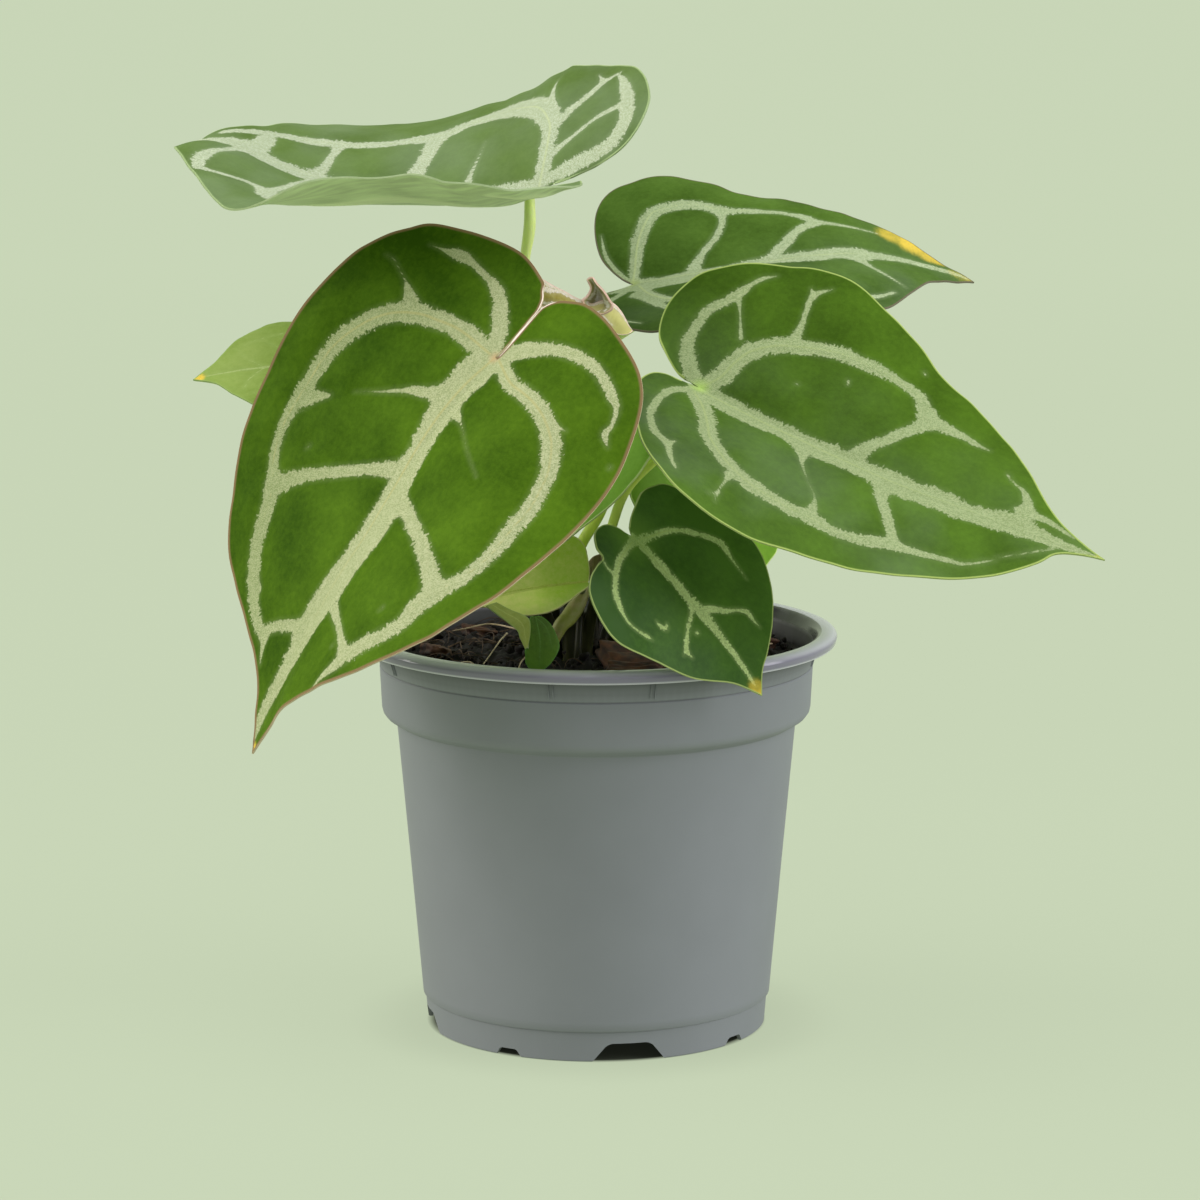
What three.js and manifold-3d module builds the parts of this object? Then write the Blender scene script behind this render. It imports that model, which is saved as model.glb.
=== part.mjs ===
// Potted velvet-leaved aroid: a nursery pot filled with peat, a short crown,
// and heart-shaped leaves that each stand on their own stem.
// Millimetres, +Z up. The pot's axis is the work axis; the finished group is
// moved at the end so that the middle of its box's bottom is the origin.
import * as THREE from 'three';
import Module from 'manifold-3d';

const wasm = await Module();
wasm.setup();
const { Manifold, Mesh: SolidMesh } = wasm;

const RAD = Math.PI / 180;

// ---------------------------------------------------------------- sizes
const POT = {
  height: 100, rimRadius: 60, mouthRadius: 55, lipHeight: 3, lipWall: 1.3,
  collarTop: 54.2, collarLow: 53.5, collarBottom: 78, bodyTop: 49.8, bodyTopZ: 76.8,
  bodyLow: 43.6, footZ: 7.5, footTop: 43.1, footRadius: 42.5, wall: 1.2,
  baseZ: 5.2, baseThick: 1.4, segments: 64,
};
// drainage notches in the foot: how many, first bearing, width below and above, height
const NOTCHES = [
  { count: 4, first: -79, low: 18, high: 10, tall: 4.6 },
  { count: 4, first: -34, low: 5.6, high: 4.6, tall: 1.3 },
];
const DRAIN = { count: 8, first: -79, ring: 35, radius: 4 };
const SOIL = { level: 94.5, edgeDrop: 1.5, bump: 1.1, gap: 0.4, rings: 9, segments: 36 };
const BARK = { count: 9, long: 9, wide: 6, thick: 3.2, seed: 31 };
const CROWN = { x: -4, y: 3, radius: 4.2, foot: 82, top: 104 };
const FIT = 0.35;           // clearance between solids that touch
const BLADE = 0.7;          // thickness of a leaf blade
const STEM_FOOT = 83;       // how deep the stems stand

// ---------------------------------------------------------------- leaves
// A leaf lies flat as (along the midrib, to its own left) from its petiole point.
// It is bent into shape by angles in degrees: droop and tip droop of the midrib,
// sweep to the left, twist, and for each half a fold at the midrib and a curl out
// to the margin, given as [left at base, left at tip, right at base, right at tip].
const LEAVES = [
  { name: 'leaf_front_left', colour: '#4a7a26', attach: [-24, -44, 173],
    heading: 197, pitch: -46, roll: 22, length: 111, span: 51,
    droop: 22, tipDroop: 0, sweep: 6, twist: 11, lobeLift: 3,
    fold: [1, 15, 15, 3], curl: [-36, -33, 12, 9], rays: 25, rings: 6,
    left: [[-3, 1.5], [-12, 1.7], [-17, 2], [-20, 5], [-23, 13], [-22, 23], [-17, 37], [-7, 45],
      [12, 51], [37, 51], [58, 46], [77, 34], [96, 10], [103, 5], [111, 0]],
    right: [[-3, -0.3], [-14, -0.8], [-18, -2], [-22, -6], [-24, -14], [-22, -25], [-17, -38],
      [-12, -43], [-3, -48], [15, -52], [37, -51], [51, -49], [65, -44], [75, -38], [84, -26],
      [94, -12], [103, -5], [111, 0]],
    stem: { radius: 1.3, foot: [-10, -4], via: [[-14, -8, 110], [-20, -19, 140]] } },
  { name: 'leaf_front_right', colour: '#4f7a35', attach: [25, -26, 163.5],
    heading: -26, pitch: -22, roll: -30, length: 108, span: 45,
    droop: -1, tipDroop: 0, sweep: 10, twist: 2, lobeLift: -18,
    fold: [20, -1, 18, 2], curl: [-11, -26, 5, -43], rays: 25, rings: 6,
    left: [[-5, 0.6], [-8, 1.5], [-13, 5], [-17, 9], [-19, 15], [-19, 22], [-17, 29], [-12, 34],
      [-6, 39], [0, 42], [8, 45], [17, 46], [28, 44], [39, 40], [49, 35], [59, 32], [71, 26],
      [82, 18], [92, 8], [99, 3], [108, -1]],
    right: [[-5, -0.6], [-9, -1], [-12, -4], [-11, -11], [-5, -22], [2, -34], [9, -42], [16, -46],
      [24, -47], [33, -45], [43, -40], [54, -35], [64, -30], [75, -24], [86, -17], [94, -9],
      [97, -4.5], [102, -2], [108, -1]],
    stem: { radius: 1.15, foot: [-2.5, -5.5], via: [[0, -9, 110], [4, -13, 128], [8, -16, 138]] } },
  { name: 'leaf_top', colour: '#4d7a3c', attach: [-15, 0, 209.5],
    heading: 155, pitch: -12, roll: 29, length: 106, span: 49,
    droop: -46, tipDroop: 120, sweep: -16, twist: 39, lobeLift: 7,
    fold: [5, -12, 28, 19], curl: [62, -25, -38, -30], rays: 25, rings: 7,
    left: [[-4, 1], [-8, 1.5], [-16, 6.5], [-20, 18], [-15, 35], [0, 47], [20, 50], [44, 58],
      [70, 38], [88, 17], [98, 5], [106, 0]],
    right: [[-6, -0.7], [-12, -1.4], [-25, -6], [-31, -17], [-23, -34], [-1, -45], [20, -48],
      [44, -57], [70, -36], [88, -17], [98, -4.5], [106, 0]],
    stem: { radius: 1.4, foot: [-10.5, 6], via: [[-12, 8, 120], [-20, 4, 160], [-17, 2, 194]] } },
  { name: 'leaf_upper_right', colour: '#4a7a32', attach: [9.5, 32, 182.5],
    heading: 3, pitch: 16, roll: -24, length: 94, span: 41,
    droop: 42, tipDroop: 0, sweep: 13, twist: 1, lobeLift: 15,
    fold: [14, 6, 17, 5], curl: [-12, -31, -8, -32], rays: 23, rings: 5,
    left: [[-1, 1], [-3, 4], [-6, 12], [-6, 22], [-4, 31], [0, 38], [5, 41], [20, 41], [30, 36],
      [37, 31], [49, 28], [60, 24], [70, 16], [78, 9], [86, 3], [94, -1]],
    right: [[-4, -0.6], [-10, -1.5], [-16, -6], [-18, -14], [-16, -24], [-11, -32], [-5, -36],
      [2, -41], [14, -42], [28, -40], [42, -34], [58, -26], [69, -16], [79, -7], [94, -1]],
    stem: { radius: 1.2, foot: [-3, 10], via: [[-8, 10, 116], [-10, 12, 138], [-4, 18, 162]] } },
  { name: 'leaf_small_front', colour: '#2f5a1e', attach: [8.5, -47, 130.5],
    heading: -10, pitch: -44, roll: -30, length: 49, span: 26,
    droop: 6, tipDroop: 0, sweep: -11, twist: 16, lobeLift: 7,
    fold: [9, 14, 15, 7], curl: [-19, -15, -15, -21], rays: 18, rings: 4,
    left: [[-2, 1.5], [-4, 5], [-6, 12], [-5, 17], [-3, 21], [3, 25], [10, 27.5], [18, 27],
      [26, 23], [34, 16], [41, 8], [44, 4], [49, 0]],
    right: [[-2, -1], [-4, -2], [-7, -5], [-8, -10], [-5, -14.5], [0, -15.5], [0.5, -20], [3, -25],
      [7, -27], [12, -27], [18, -26], [27, -20], [36, -14], [42, -6], [45, -3], [49, 0]],
    stem: { radius: 1, foot: [4, 0], via: [[6, -14, 107]] } },
  { name: 'leaf_far_left', colour: '#7aa84e', attach: [-60.5, 8, 165],
    heading: 193, pitch: 4, roll: 32, length: 40, span: 21,
    droop: 19, tipDroop: 0, sweep: 1, twist: 0, lobeLift: 0,
    fold: [6, 8, 4, 8], curl: [-20, -20, -20, -20], rays: 15, rings: 3,
    left: [[-3, 1], [-8, 5], [-10, 12], [-6, 19], [3, 22], [14, 21], [25, 15], [31, 9],
      [35, 3.5], [40, 0]],
    right: [[-3, -1], [-8, -5], [-10, -11], [-6, -17], [2, -19], [12, -18.5], [20, -17],
      [29, -10], [34, -4], [40, 0]],
    stem: { radius: 1, foot: [-14.5, 4], via: [[-19, 7, 118], [-34, 12, 148]] } },
  { name: 'leaf_inner_left', colour: '#5c8a26', attach: [6, -14, 157],
    heading: 205, pitch: -58, roll: 6, length: 39, span: 16,
    droop: 8, tipDroop: 0, sweep: 0, twist: 0, lobeLift: 0,
    fold: [12, 8, 12, 8], curl: [-14, -14, -14, -14], rays: 13, rings: 3, heart: 8,
    stem: { radius: 1.2, foot: [-6.5, -5], via: [[-6.5, -5, 112], [-4, -4, 121], [1, -5, 130],
      [6, -5, 144]] } },
  { name: 'leaf_inner_right', colour: '#3f6a1e', attach: [25, 1, 136.5],
    heading: -60, pitch: -70, roll: 14, length: 42, span: 19,
    droop: 6, tipDroop: 0, sweep: 0, twist: 0, lobeLift: 0,
    fold: [8, 6, 8, 6], curl: [-14, -14, -14, -14], rays: 13, rings: 3, heart: 9,
    stem: { radius: 1, foot: [2, 9], via: [[10, 14, 112]] } },
  { name: 'leaf_pale_folded', colour: '#9ab04e', attach: [-2, -14.5, 114],
    heading: 186, pitch: -6, roll: 24, length: 38, span: 12,
    droop: 12, tipDroop: 0, sweep: 0, twist: 0, lobeLift: 0,
    fold: [-8, -8, 50, 40], curl: [-30, -30, 20, 10], rays: 13, rings: 3, heart: 5,
    stem: { radius: 1, foot: [-4.5, -9.5], via: [] } },
  { name: 'leaf_curled_low', colour: '#3a6228', attach: [-15, -29, 107.8],
    heading: -80, pitch: -50, roll: -4, length: 13, span: 6,
    droop: 10, tipDroop: 0, sweep: 0, twist: 0, lobeLift: 0,
    fold: [10, 10, 70, 70], curl: [-30, -30, 60, 60], rays: 9, rings: 2, heart: 2,
    stem: { radius: 0.9, foot: [-15, -14], via: [] } },
  { name: 'leaf_young_bronze', colour: '#8a7a4a', attach: [0.5, -29, 183],
    heading: 175, pitch: 20, roll: 30, length: 24, span: 8,
    droop: 6, tipDroop: 0, sweep: 0, twist: 0, lobeLift: 10,
    fold: [20, 30, 40, 40], curl: [30, 20, 20, 20], rays: 11, rings: 2, heart: 8,
    stem: { radius: 1, foot: [-13.5, -1], via: [[-13, -2, 112], [-12, -6, 138], [-5, -16, 164]] } },
];
// A plain heart for the young leaves: [reach, side]; reach counts in lobe lengths
// behind the petiole point and in blade lengths ahead of it.
const HEART = [[-0.45, 0.05], [-0.85, 0.16], [-1, 0.38], [-0.7, 0.72], [0, 0.95], [0.2, 1],
  [0.44, 0.87], [0.68, 0.56], [0.84, 0.26], [0.93, 0.09], [1, 0]];

// ---------------------------------------------------------------- helpers
function seeded(seed) {
  let state = seed >>> 0;
  return () => {
    state = (state + 0x6d2b79f5) >>> 0;
    let t = Math.imul(state ^ (state >>> 15), 1 | state);
    t = (t + Math.imul(t ^ (t >>> 7), 61 | t)) ^ t;
    return ((t ^ (t >>> 14)) >>> 0) / 4294967296;
  };
}

function geometryOf(points, triangles) {
  const geometry = new THREE.BufferGeometry();
  geometry.setAttribute('position', new THREE.Float32BufferAttribute(points.flat(), 3));
  geometry.setIndex(triangles.flat());
  geometry.computeVertexNormals();
  return geometry;
}

function solidOf(points, triangles) {
  const mesh = new SolidMesh({
    numProp: 3,
    vertProperties: new Float32Array(points.flat()),
    triVerts: new Uint32Array(triangles.flat()),
  });
  mesh.merge();
  return new Manifold(mesh);
}

function geometryOfSolid(solid) {
  const mesh = solid.getMesh();
  const points = [];
  for (let i = 0; i < mesh.numVert; i++) {
    points.push(Array.from(mesh.vertProperties.slice(i * mesh.numProp, i * mesh.numProp + 3)));
  }
  const triangles = [];
  for (let i = 0; i < mesh.numTri; i++) triangles.push(Array.from(mesh.triVerts.slice(3 * i, 3 * i + 3)));
  return geometryOf(points, triangles);
}

// Turns a closed profile of [radius, z], walked anticlockwise, about the Z axis.
function revolve(profile, segments) {
  const points = [];
  const triangles = [];
  for (let j = 0; j < segments; j++) {
    const a = (2 * Math.PI * j) / segments;
    for (const [r, z] of profile) points.push([r * Math.cos(a), r * Math.sin(a), z]);
  }
  const n = profile.length;
  for (let j = 0; j < segments; j++) {
    const here = j * n;
    const next = ((j + 1) % segments) * n;
    for (let i = 0; i < n; i++) {
      const k = (i + 1) % n;
      triangles.push([here + i, next + i, next + k], [here + i, next + k, here + k]);
    }
  }
  return [points, triangles];
}

// A round stem through the given points, closed at both ends.
function stemGeometry(path, radius, sides, steps) {
  const curve = new THREE.CatmullRomCurve3(path.map((p) => new THREE.Vector3(...p)), false, 'centripetal');
  const frames = curve.computeFrenetFrames(steps, false);
  const points = [];
  const triangles = [];
  for (let i = 0; i <= steps; i++) {
    const centre = curve.getPointAt(i / steps);
    for (let j = 0; j < sides; j++) {
      const a = (2 * Math.PI * j) / sides;
      const p = centre.clone()
        .addScaledVector(frames.normals[i], radius * Math.cos(a))
        .addScaledVector(frames.binormals[i], radius * Math.sin(a));
      points.push([p.x, p.y, p.z]);
    }
  }
  for (let i = 0; i < steps; i++) {
    for (let j = 0; j < sides; j++) {
      const a = i * sides + j;
      const b = i * sides + ((j + 1) % sides);
      triangles.push([a, b, b + sides], [a, b + sides, a + sides]);
    }
  }
  for (let j = 1; j < sides - 1; j++) {
    triangles.push([0, j + 1, j]);
    triangles.push([steps * sides, steps * sides + j, steps * sides + j + 1]);
  }
  return geometryOf(points, triangles);
}

// ---------------------------------------------------------------- leaf form
function mix(a, b, t) { return a + (b - a) * t; }
function ease(t) { const u = Math.min(Math.max(t, 0), 1); return u * u * (3 - 2 * u); }

// Returns a function that carries a flat leaf point to its place in space.
function leafForm(leaf) {
  const h = leaf.heading * RAD;
  const p = leaf.pitch * RAD;
  const r = leaf.roll * RAD;
  const along = new THREE.Vector3(Math.cos(p) * Math.cos(h), Math.cos(p) * Math.sin(h), Math.sin(p));
  const level = new THREE.Vector3(-Math.sin(p) * Math.cos(h), -Math.sin(p) * Math.sin(h), Math.cos(p));
  const across = level.clone().cross(along);
  const up = level.clone().multiplyScalar(Math.cos(r)).addScaledVector(across, Math.sin(r));
  const left = up.clone().cross(along);

  // the midrib, stepped out both ways from the petiole point
  const steps = 240;
  const back = -0.45 * leaf.length;
  const step = (1.03 * leaf.length - back) / steps;
  const rib = [];
  const place = new THREE.Vector3();
  let last = null;
  for (let i = 0; i <= steps; i++) {
    const s = (back + i * step) / leaf.length;
    const t = Math.min(Math.max(s, 0), 1);
    const bend = (leaf.droop * t + leaf.tipDroop * Math.max((t - 0.68) / 0.32, 0) ** 2
      - (s < 0 ? leaf.lobeLift * s / 0.25 : 0)) * RAD;
    const yaw = leaf.sweep * t * RAD;
    const tangent = along.clone().multiplyScalar(Math.cos(bend) * Math.cos(yaw))
      .addScaledVector(left, Math.cos(bend) * Math.sin(yaw)).addScaledVector(up, -Math.sin(bend));
    const rise = along.clone().multiplyScalar(Math.sin(bend)).addScaledVector(up, Math.cos(bend));
    const side = rise.clone().cross(tangent).normalize();
    const face = tangent.clone().cross(side);
    const turn = leaf.twist * t * RAD;
    const out = side.clone().multiplyScalar(Math.cos(turn)).addScaledVector(face, Math.sin(turn));
    if (last) place.addScaledVector(last, step / 2).addScaledVector(tangent, step / 2);
    last = tangent;
    rib.push({ at: place.clone(), out, face: tangent.clone().cross(out) });
  }
  const sample = (x, key) => {
    const u = Math.min(Math.max((x - back) / step, 0), steps - 1e-6);
    const i = Math.floor(u);
    return rib[i][key].clone().lerp(rib[i + 1][key], u - i);
  };
  const start = sample(0, 'at');

  return (x, y) => {
    const w = ease(x / leaf.length);
    const k = y >= 0 ? 0 : 2;
    const fold = mix(leaf.fold[k], leaf.fold[k + 1], w) * RAD;
    let curl = mix(leaf.curl[k], leaf.curl[k + 1], w) * RAD / leaf.span;
    if (Math.abs(curl) < 1e-6) curl = 1e-6;
    const d = Math.abs(y);
    const lateral = (Math.sin(fold + curl * d) - Math.sin(fold)) / curl;
    const lift = (Math.cos(fold) - Math.cos(fold + curl * d)) / curl;
    return sample(x, 'at').sub(start)
      .addScaledVector(sample(x, 'out').normalize(), y >= 0 ? lateral : -lateral)
      .addScaledVector(sample(x, 'face').normalize(), lift)
      .add(new THREE.Vector3(...leaf.attach));
  };
}

function faceNormal(form, x, y) {
  const e = 0.4;
  const a = form(x + e, y).sub(form(x - e, y));
  const b = form(x, y + e).sub(form(x, y - e));
  return a.cross(b).normalize();
}

function heartSide(leaf, sign) {
  return HEART.map(([u, v]) => [u < 0 ? u * leaf.heart : u * leaf.length, sign * v * leaf.span]);
}

// One margin of the leaf, as evenly spaced flat points from the sinus to the tip.
function margin(side, count) {
  const curve = new THREE.CatmullRomCurve3(side.map(([x, y]) => new THREE.Vector3(x, y, 0)), false, 'catmullrom', 0.5);
  return curve.getSpacedPoints(count).map((p) => [p.x, p.y]);
}

// The blade: a fan of rays from the petiole point, cut into rings, with a face above
// and below split alike and a rim between them.
function bladeGeometry(leaf) {
  const form = leafForm(leaf);
  const leftSide = margin(leaf.left ?? heartSide(leaf, 1), leaf.rays);
  const rightSide = margin(leaf.right ?? heartSide(leaf, -1), leaf.rays);
  const edge = [...leftSide, ...rightSide.slice(0, -1).reverse()];
  const flat = [[0, 0]];
  for (let k = 1; k <= leaf.rings; k++) {
    const f = (k / leaf.rings) ** 0.9;
    for (const [x, y] of edge) flat.push([x * f, y * f]);
  }
  const n = edge.length;
  const at = (k, i) => (k === 0 ? 0 : 1 + (k - 1) * n + i);
  const faces = [];
  for (let i = 0; i < n - 1; i++) {
    faces.push([0, at(1, i + 1), at(1, i)]);
    for (let k = 1; k < leaf.rings; k++) {
      faces.push([at(k, i), at(k, i + 1), at(k + 1, i + 1)], [at(k, i), at(k + 1, i + 1), at(k + 1, i)]);
    }
  }
  const border = [0];
  for (let k = 1; k < leaf.rings; k++) border.push(at(k, 0));
  for (let i = 0; i < n; i++) border.push(at(leaf.rings, i));
  for (let k = leaf.rings - 1; k >= 1; k--) border.push(at(k, n - 1));

  const points = [];
  const shift = flat.map(([x, y]) => faceNormal(form, x, y).multiplyScalar(BLADE / 2));
  flat.forEach(([x, y], i) => points.push(form(x, y).add(shift[i]).toArray()));
  flat.forEach(([x, y], i) => points.push(form(x, y).sub(shift[i]).toArray()));
  const m = flat.length;
  const triangles = [];
  // flat points run clockwise around the fan seen from above, so the upper face is turned over
  for (const [a, b, c] of faces) triangles.push([a, b, c], [a + m, c + m, b + m]);
  border.forEach((a, i) => {
    const b = border[(i + 1) % border.length];
    triangles.push([a, b, b + m], [a, b + m, a + m]);
  });
  return geometryOf(points, triangles);
}

function stemPath(leaf) {
  const form = leafForm(leaf);
  const under = faceNormal(form, 1.5, 0).negate();
  const top = form(1.5, 0);
  const below = (d) => top.clone().addScaledVector(under, d).toArray();
  const [x, y] = leaf.stem.foot;
  return [[x, y, STEM_FOOT], [x, y, STEM_FOOT + 6], [x, y, SOIL.level + 2], ...leaf.stem.via,
    below(9), below(4), below(BLADE / 2 + FIT)];
}

// ---------------------------------------------------------------- pot
function notchTool(bearing, { low, high, tall }) {
  const reach = [POT.footRadius - 9, POT.footRadius + 6];
  const corners = [];
  for (const r of reach) {
    for (const [half, z] of [[low / 2 + 0.9, -1], [low / 2, 0], [high / 2 + 0.5, tall - 0.8],
      [high / 2 - 0.6, tall]]) {
      corners.push([r, half, z], [r, -half, z]);
    }
  }
  return Manifold.hull(corners).rotate([0, 0, bearing]);
}

function potSolid() {
  const p = POT;
  const inner = p.collarTop - p.wall;
  const outline = [
    [p.footRadius - p.wall, 0], [p.footRadius, 0], [p.footTop, p.footZ], [p.bodyLow, p.footZ + 0.3],
    [p.bodyTop, p.bodyTopZ], [p.bodyTop + 1.6, p.bodyTopZ + 0.2], [p.collarLow - 0.5, p.collarBottom - 0.5],
    [p.collarLow, p.collarBottom + 0.8], [p.collarTop, p.height - p.lipHeight + 1.2],
    [p.collarTop + 0.6, p.height - p.lipWall], [p.rimRadius - p.lipWall - 0.5, p.height - p.lipWall],
    [p.rimRadius - p.lipWall, p.height - p.lipHeight], [p.rimRadius, p.height - p.lipHeight],
    [p.rimRadius, p.height - 1], [p.rimRadius - 0.8, p.height - 0.2], [p.rimRadius - 2.4, p.height],
    [p.mouthRadius + 0.4, p.height], [p.mouthRadius - 0.6, p.height - 0.5], [inner, p.height - 3],
    [p.collarLow - p.wall, p.collarBottom + 0.8], [p.bodyTop - p.wall, p.bodyTopZ - 0.6],
    [p.bodyLow - p.wall, p.baseZ + p.baseThick + 1.5], [p.bodyLow - p.wall - 1.5, p.baseZ + p.baseThick],
  ];
  const foot = [[p.footRadius - p.wall - 0.1, p.baseZ]];
  // the wall and the raised floor are one moulding: a ring and a disc, joined
  const [points, triangles] = revolve([...outline, [20, p.baseZ + p.baseThick], [20, p.baseZ], ...foot], p.segments);
  let pot = solidOf(points, triangles);
  const disc = Manifold.cylinder(p.baseThick, 20.2, 20.2, p.segments).translate([0, 0, p.baseZ]);
  pot = pot.add(disc);
  for (const notch of NOTCHES) {
    for (let i = 0; i < notch.count; i++) {
      pot = pot.subtract(notchTool(notch.first + (360 / notch.count) * i, notch));
    }
  }
  for (let i = 0; i < DRAIN.count; i++) {
    const a = (DRAIN.first + (360 / DRAIN.count) * i) * RAD;
    pot = pot.subtract(Manifold.cylinder(6, DRAIN.radius, DRAIN.radius, 12)
      .translate([DRAIN.ring * Math.cos(a), DRAIN.ring * Math.sin(a), p.baseZ - 2]));
  }
  return pot;
}

// inner radius of the pot at a height
function potInside(z) {
  const p = POT;
  if (z > p.collarBottom) {
    return mix(p.collarLow - p.wall, p.collarTop - p.wall, (z - p.collarBottom) / (p.height - 3 - p.collarBottom));
  }
  return mix(p.bodyLow - p.wall - 0.4, p.bodyTop - p.wall, (z - p.baseZ) / (p.bodyTopZ - 0.6 - p.baseZ));
}

// ---------------------------------------------------------------- soil
function soilHeight(x, y) {
  const r = Math.hypot(x, y) / potInside(SOIL.level);
  const waves = Math.sin(0.21 * x + 0.6) * Math.cos(0.17 * y - 0.4) + 0.6 * Math.sin(0.37 * y + 0.23 * x + 1.9);
  return SOIL.level + SOIL.bump * waves * (1 - r ** 4) - SOIL.edgeDrop * r ** 3;
}

function soilSolid() {
  const { segments, rings, gap } = SOIL;
  const points = [];
  const triangles = [];
  const bottom = POT.baseZ + POT.baseThick + FIT;
  const ring = (radius, height) => {
    const first = points.length;
    for (let j = 0; j < segments; j++) {
      const a = (2 * Math.PI * j) / segments;
      const x = radius * Math.cos(a);
      const y = radius * Math.sin(a);
      points.push([x, y, height(x, y)]);
    }
    return first;
  };
  const join = (low, high) => {
    for (let j = 0; j < segments; j++) {
      const k = (j + 1) % segments;
      triangles.push([low + j, low + k, high + k], [low + j, high + k, high + j]);
    }
  };
  const edge = SOIL.level - SOIL.edgeDrop;
  points.push([0, 0, bottom]);
  const sides = [
    ring(potInside(bottom + 1.6) - gap - 2, () => bottom),
    ring(potInside(bottom + 3) - gap, () => bottom + 2),
    ring(POT.bodyTop - POT.wall - gap, () => POT.bodyTopZ + 0.6),
    ring(potInside(80) - gap, () => 80.5),
    ring(potInside(edge) - gap, () => edge),
  ];
  for (let j = 0; j < segments; j++) triangles.push([0, sides[0] + ((j + 1) % segments), sides[0] + j]);
  for (let i = 0; i + 1 < sides.length; i++) join(sides[i], sides[i + 1]);
  let last = sides[sides.length - 1];
  for (let k = rings - 1; k >= 1; k--) {
    const next = ring((potInside(edge) - gap) * k / rings, soilHeight);
    join(last, next);
    last = next;
  }
  const top = points.length;
  points.push([0, 0, soilHeight(0, 0)]);
  for (let j = 0; j < segments; j++) triangles.push([last + j, last + ((j + 1) % segments), top]);
  return solidOf(points, triangles);
}

// Bark pieces half sunk in the peat, placed by a seeded rule clear of the stems.
function barkSolids() {
  const random = seeded(BARK.seed);
  const pieces = [];
  while (pieces.length < BARK.count) {
    const a = random() * 2 * Math.PI;
    const r = 20 + 24 * random();
    const x = r * Math.cos(a);
    const y = r * Math.sin(a);
    const size = 0.6 + 0.5 * random();
    const turn = [20 * (random() - 0.5), 20 * (random() - 0.5), 360 * random()];
    if (pieces.some((piece) => Math.hypot(piece.x - x, piece.y - y) < 12)) continue;
    const solid = Manifold.cube([BARK.long * size, BARK.wide * size, BARK.thick * size], true)
      .rotate(turn).translate([x, y, soilHeight(x, y) + 0.2]);
    pieces.push({ x, y, solid });
  }
  return pieces.map((piece) => piece.solid);
}

// ---------------------------------------------------------------- crown
// A short upright rootstock with the papery sheaths of old stems fused to it.
function crownSolid(clearance) {
  const { x, y, radius, foot, top } = CROWN;
  const c = clearance;
  const profile = [[0.01, foot - c], [radius - 1 + c, foot - c], [radius + c, foot + 4],
    [radius + 0.4 + c, SOIL.level], [radius - 0.4 + c, top - 4], [radius - 2 + c, top - 0.8], [0.01, top]];
  const [points, triangles] = revolve(profile, 12);
  let solid = solidOf(points, triangles).translate([x, y, 0]);
  if (clearance > 0) return solid;
  for (const [bearing, tall, lean] of [[250, 13, 14], [20, 9, 18], [130, 10, 12]]) {
    const sheath = Manifold.cylinder(tall, 2.6, 0.5, 8).scale([1, 0.55, 1]).rotate([lean, 0, bearing + 90])
      .translate([x + 2.6 * Math.cos(bearing * RAD), y + 2.6 * Math.sin(bearing * RAD), top - 7]);
    solid = solid.add(sheath);
  }
  return solid;
}

// ---------------------------------------------------------------- assembly
const FINISH = {
  pot: { color: '#8a9093', roughness: 0.55 },
  soil: { color: '#2a211b', roughness: 0.98 },
  crown: { color: '#7c7442', roughness: 0.8 },
  stem: { color: '#93aa55', roughness: 0.6 },
  blade: { roughness: 0.5 },
};

const plant = new THREE.Group();
plant.name = 'potted_velvet_leaf_plant';

function put(name, geometry, finish) {
  const mesh = new THREE.Mesh(geometry, new THREE.MeshStandardMaterial({ ...finish, metalness: 0 }));
  mesh.name = name;
  plant.add(mesh);
}

let soil = soilSolid();
for (const piece of barkSolids()) soil = soil.add(piece);
soil = soil.subtract(crownSolid(FIT + 0.1));
for (const leaf of LEAVES) {
  const hole = leaf.stem.radius + FIT + 0.2;
  const [x, y] = leaf.stem.foot;
  soil = soil.subtract(Manifold.cylinder(40, hole, hole, 12).translate([x, y, STEM_FOOT - FIT]));
}

put('pot', geometryOfSolid(potSolid()), FINISH.pot);
put('soil', geometryOfSolid(soil), FINISH.soil);
put('crown', geometryOfSolid(crownSolid(0)), FINISH.crown);
for (const leaf of LEAVES) {
  put(leaf.name, bladeGeometry(leaf), { ...FINISH.blade, color: leaf.colour });
  const steps = 6 + 5 * leaf.stem.via.length;
  put(leaf.name.replace('leaf', 'stem'), stemGeometry(stemPath(leaf), leaf.stem.radius, 8, steps), FINISH.stem);
}

// the middle of the bottom of the box becomes the origin
const box = new THREE.Box3().setFromObject(plant);
const middle = box.getCenter(new THREE.Vector3());
for (const mesh of plant.children) mesh.geometry.translate(-middle.x, -middle.y, -box.min.z);

export default plant;
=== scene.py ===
"""Potted velvet-leaved aroid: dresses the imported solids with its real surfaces.

Leaves are described flat, in millimetres from the petiole point, and bent into
shape; the veins are curves on that flat leaf.  Everything is in the row frame.
"""
import math
import random

import bpy
import numpy as np
from mathutils import Euler, Matrix, Vector, noise


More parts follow.
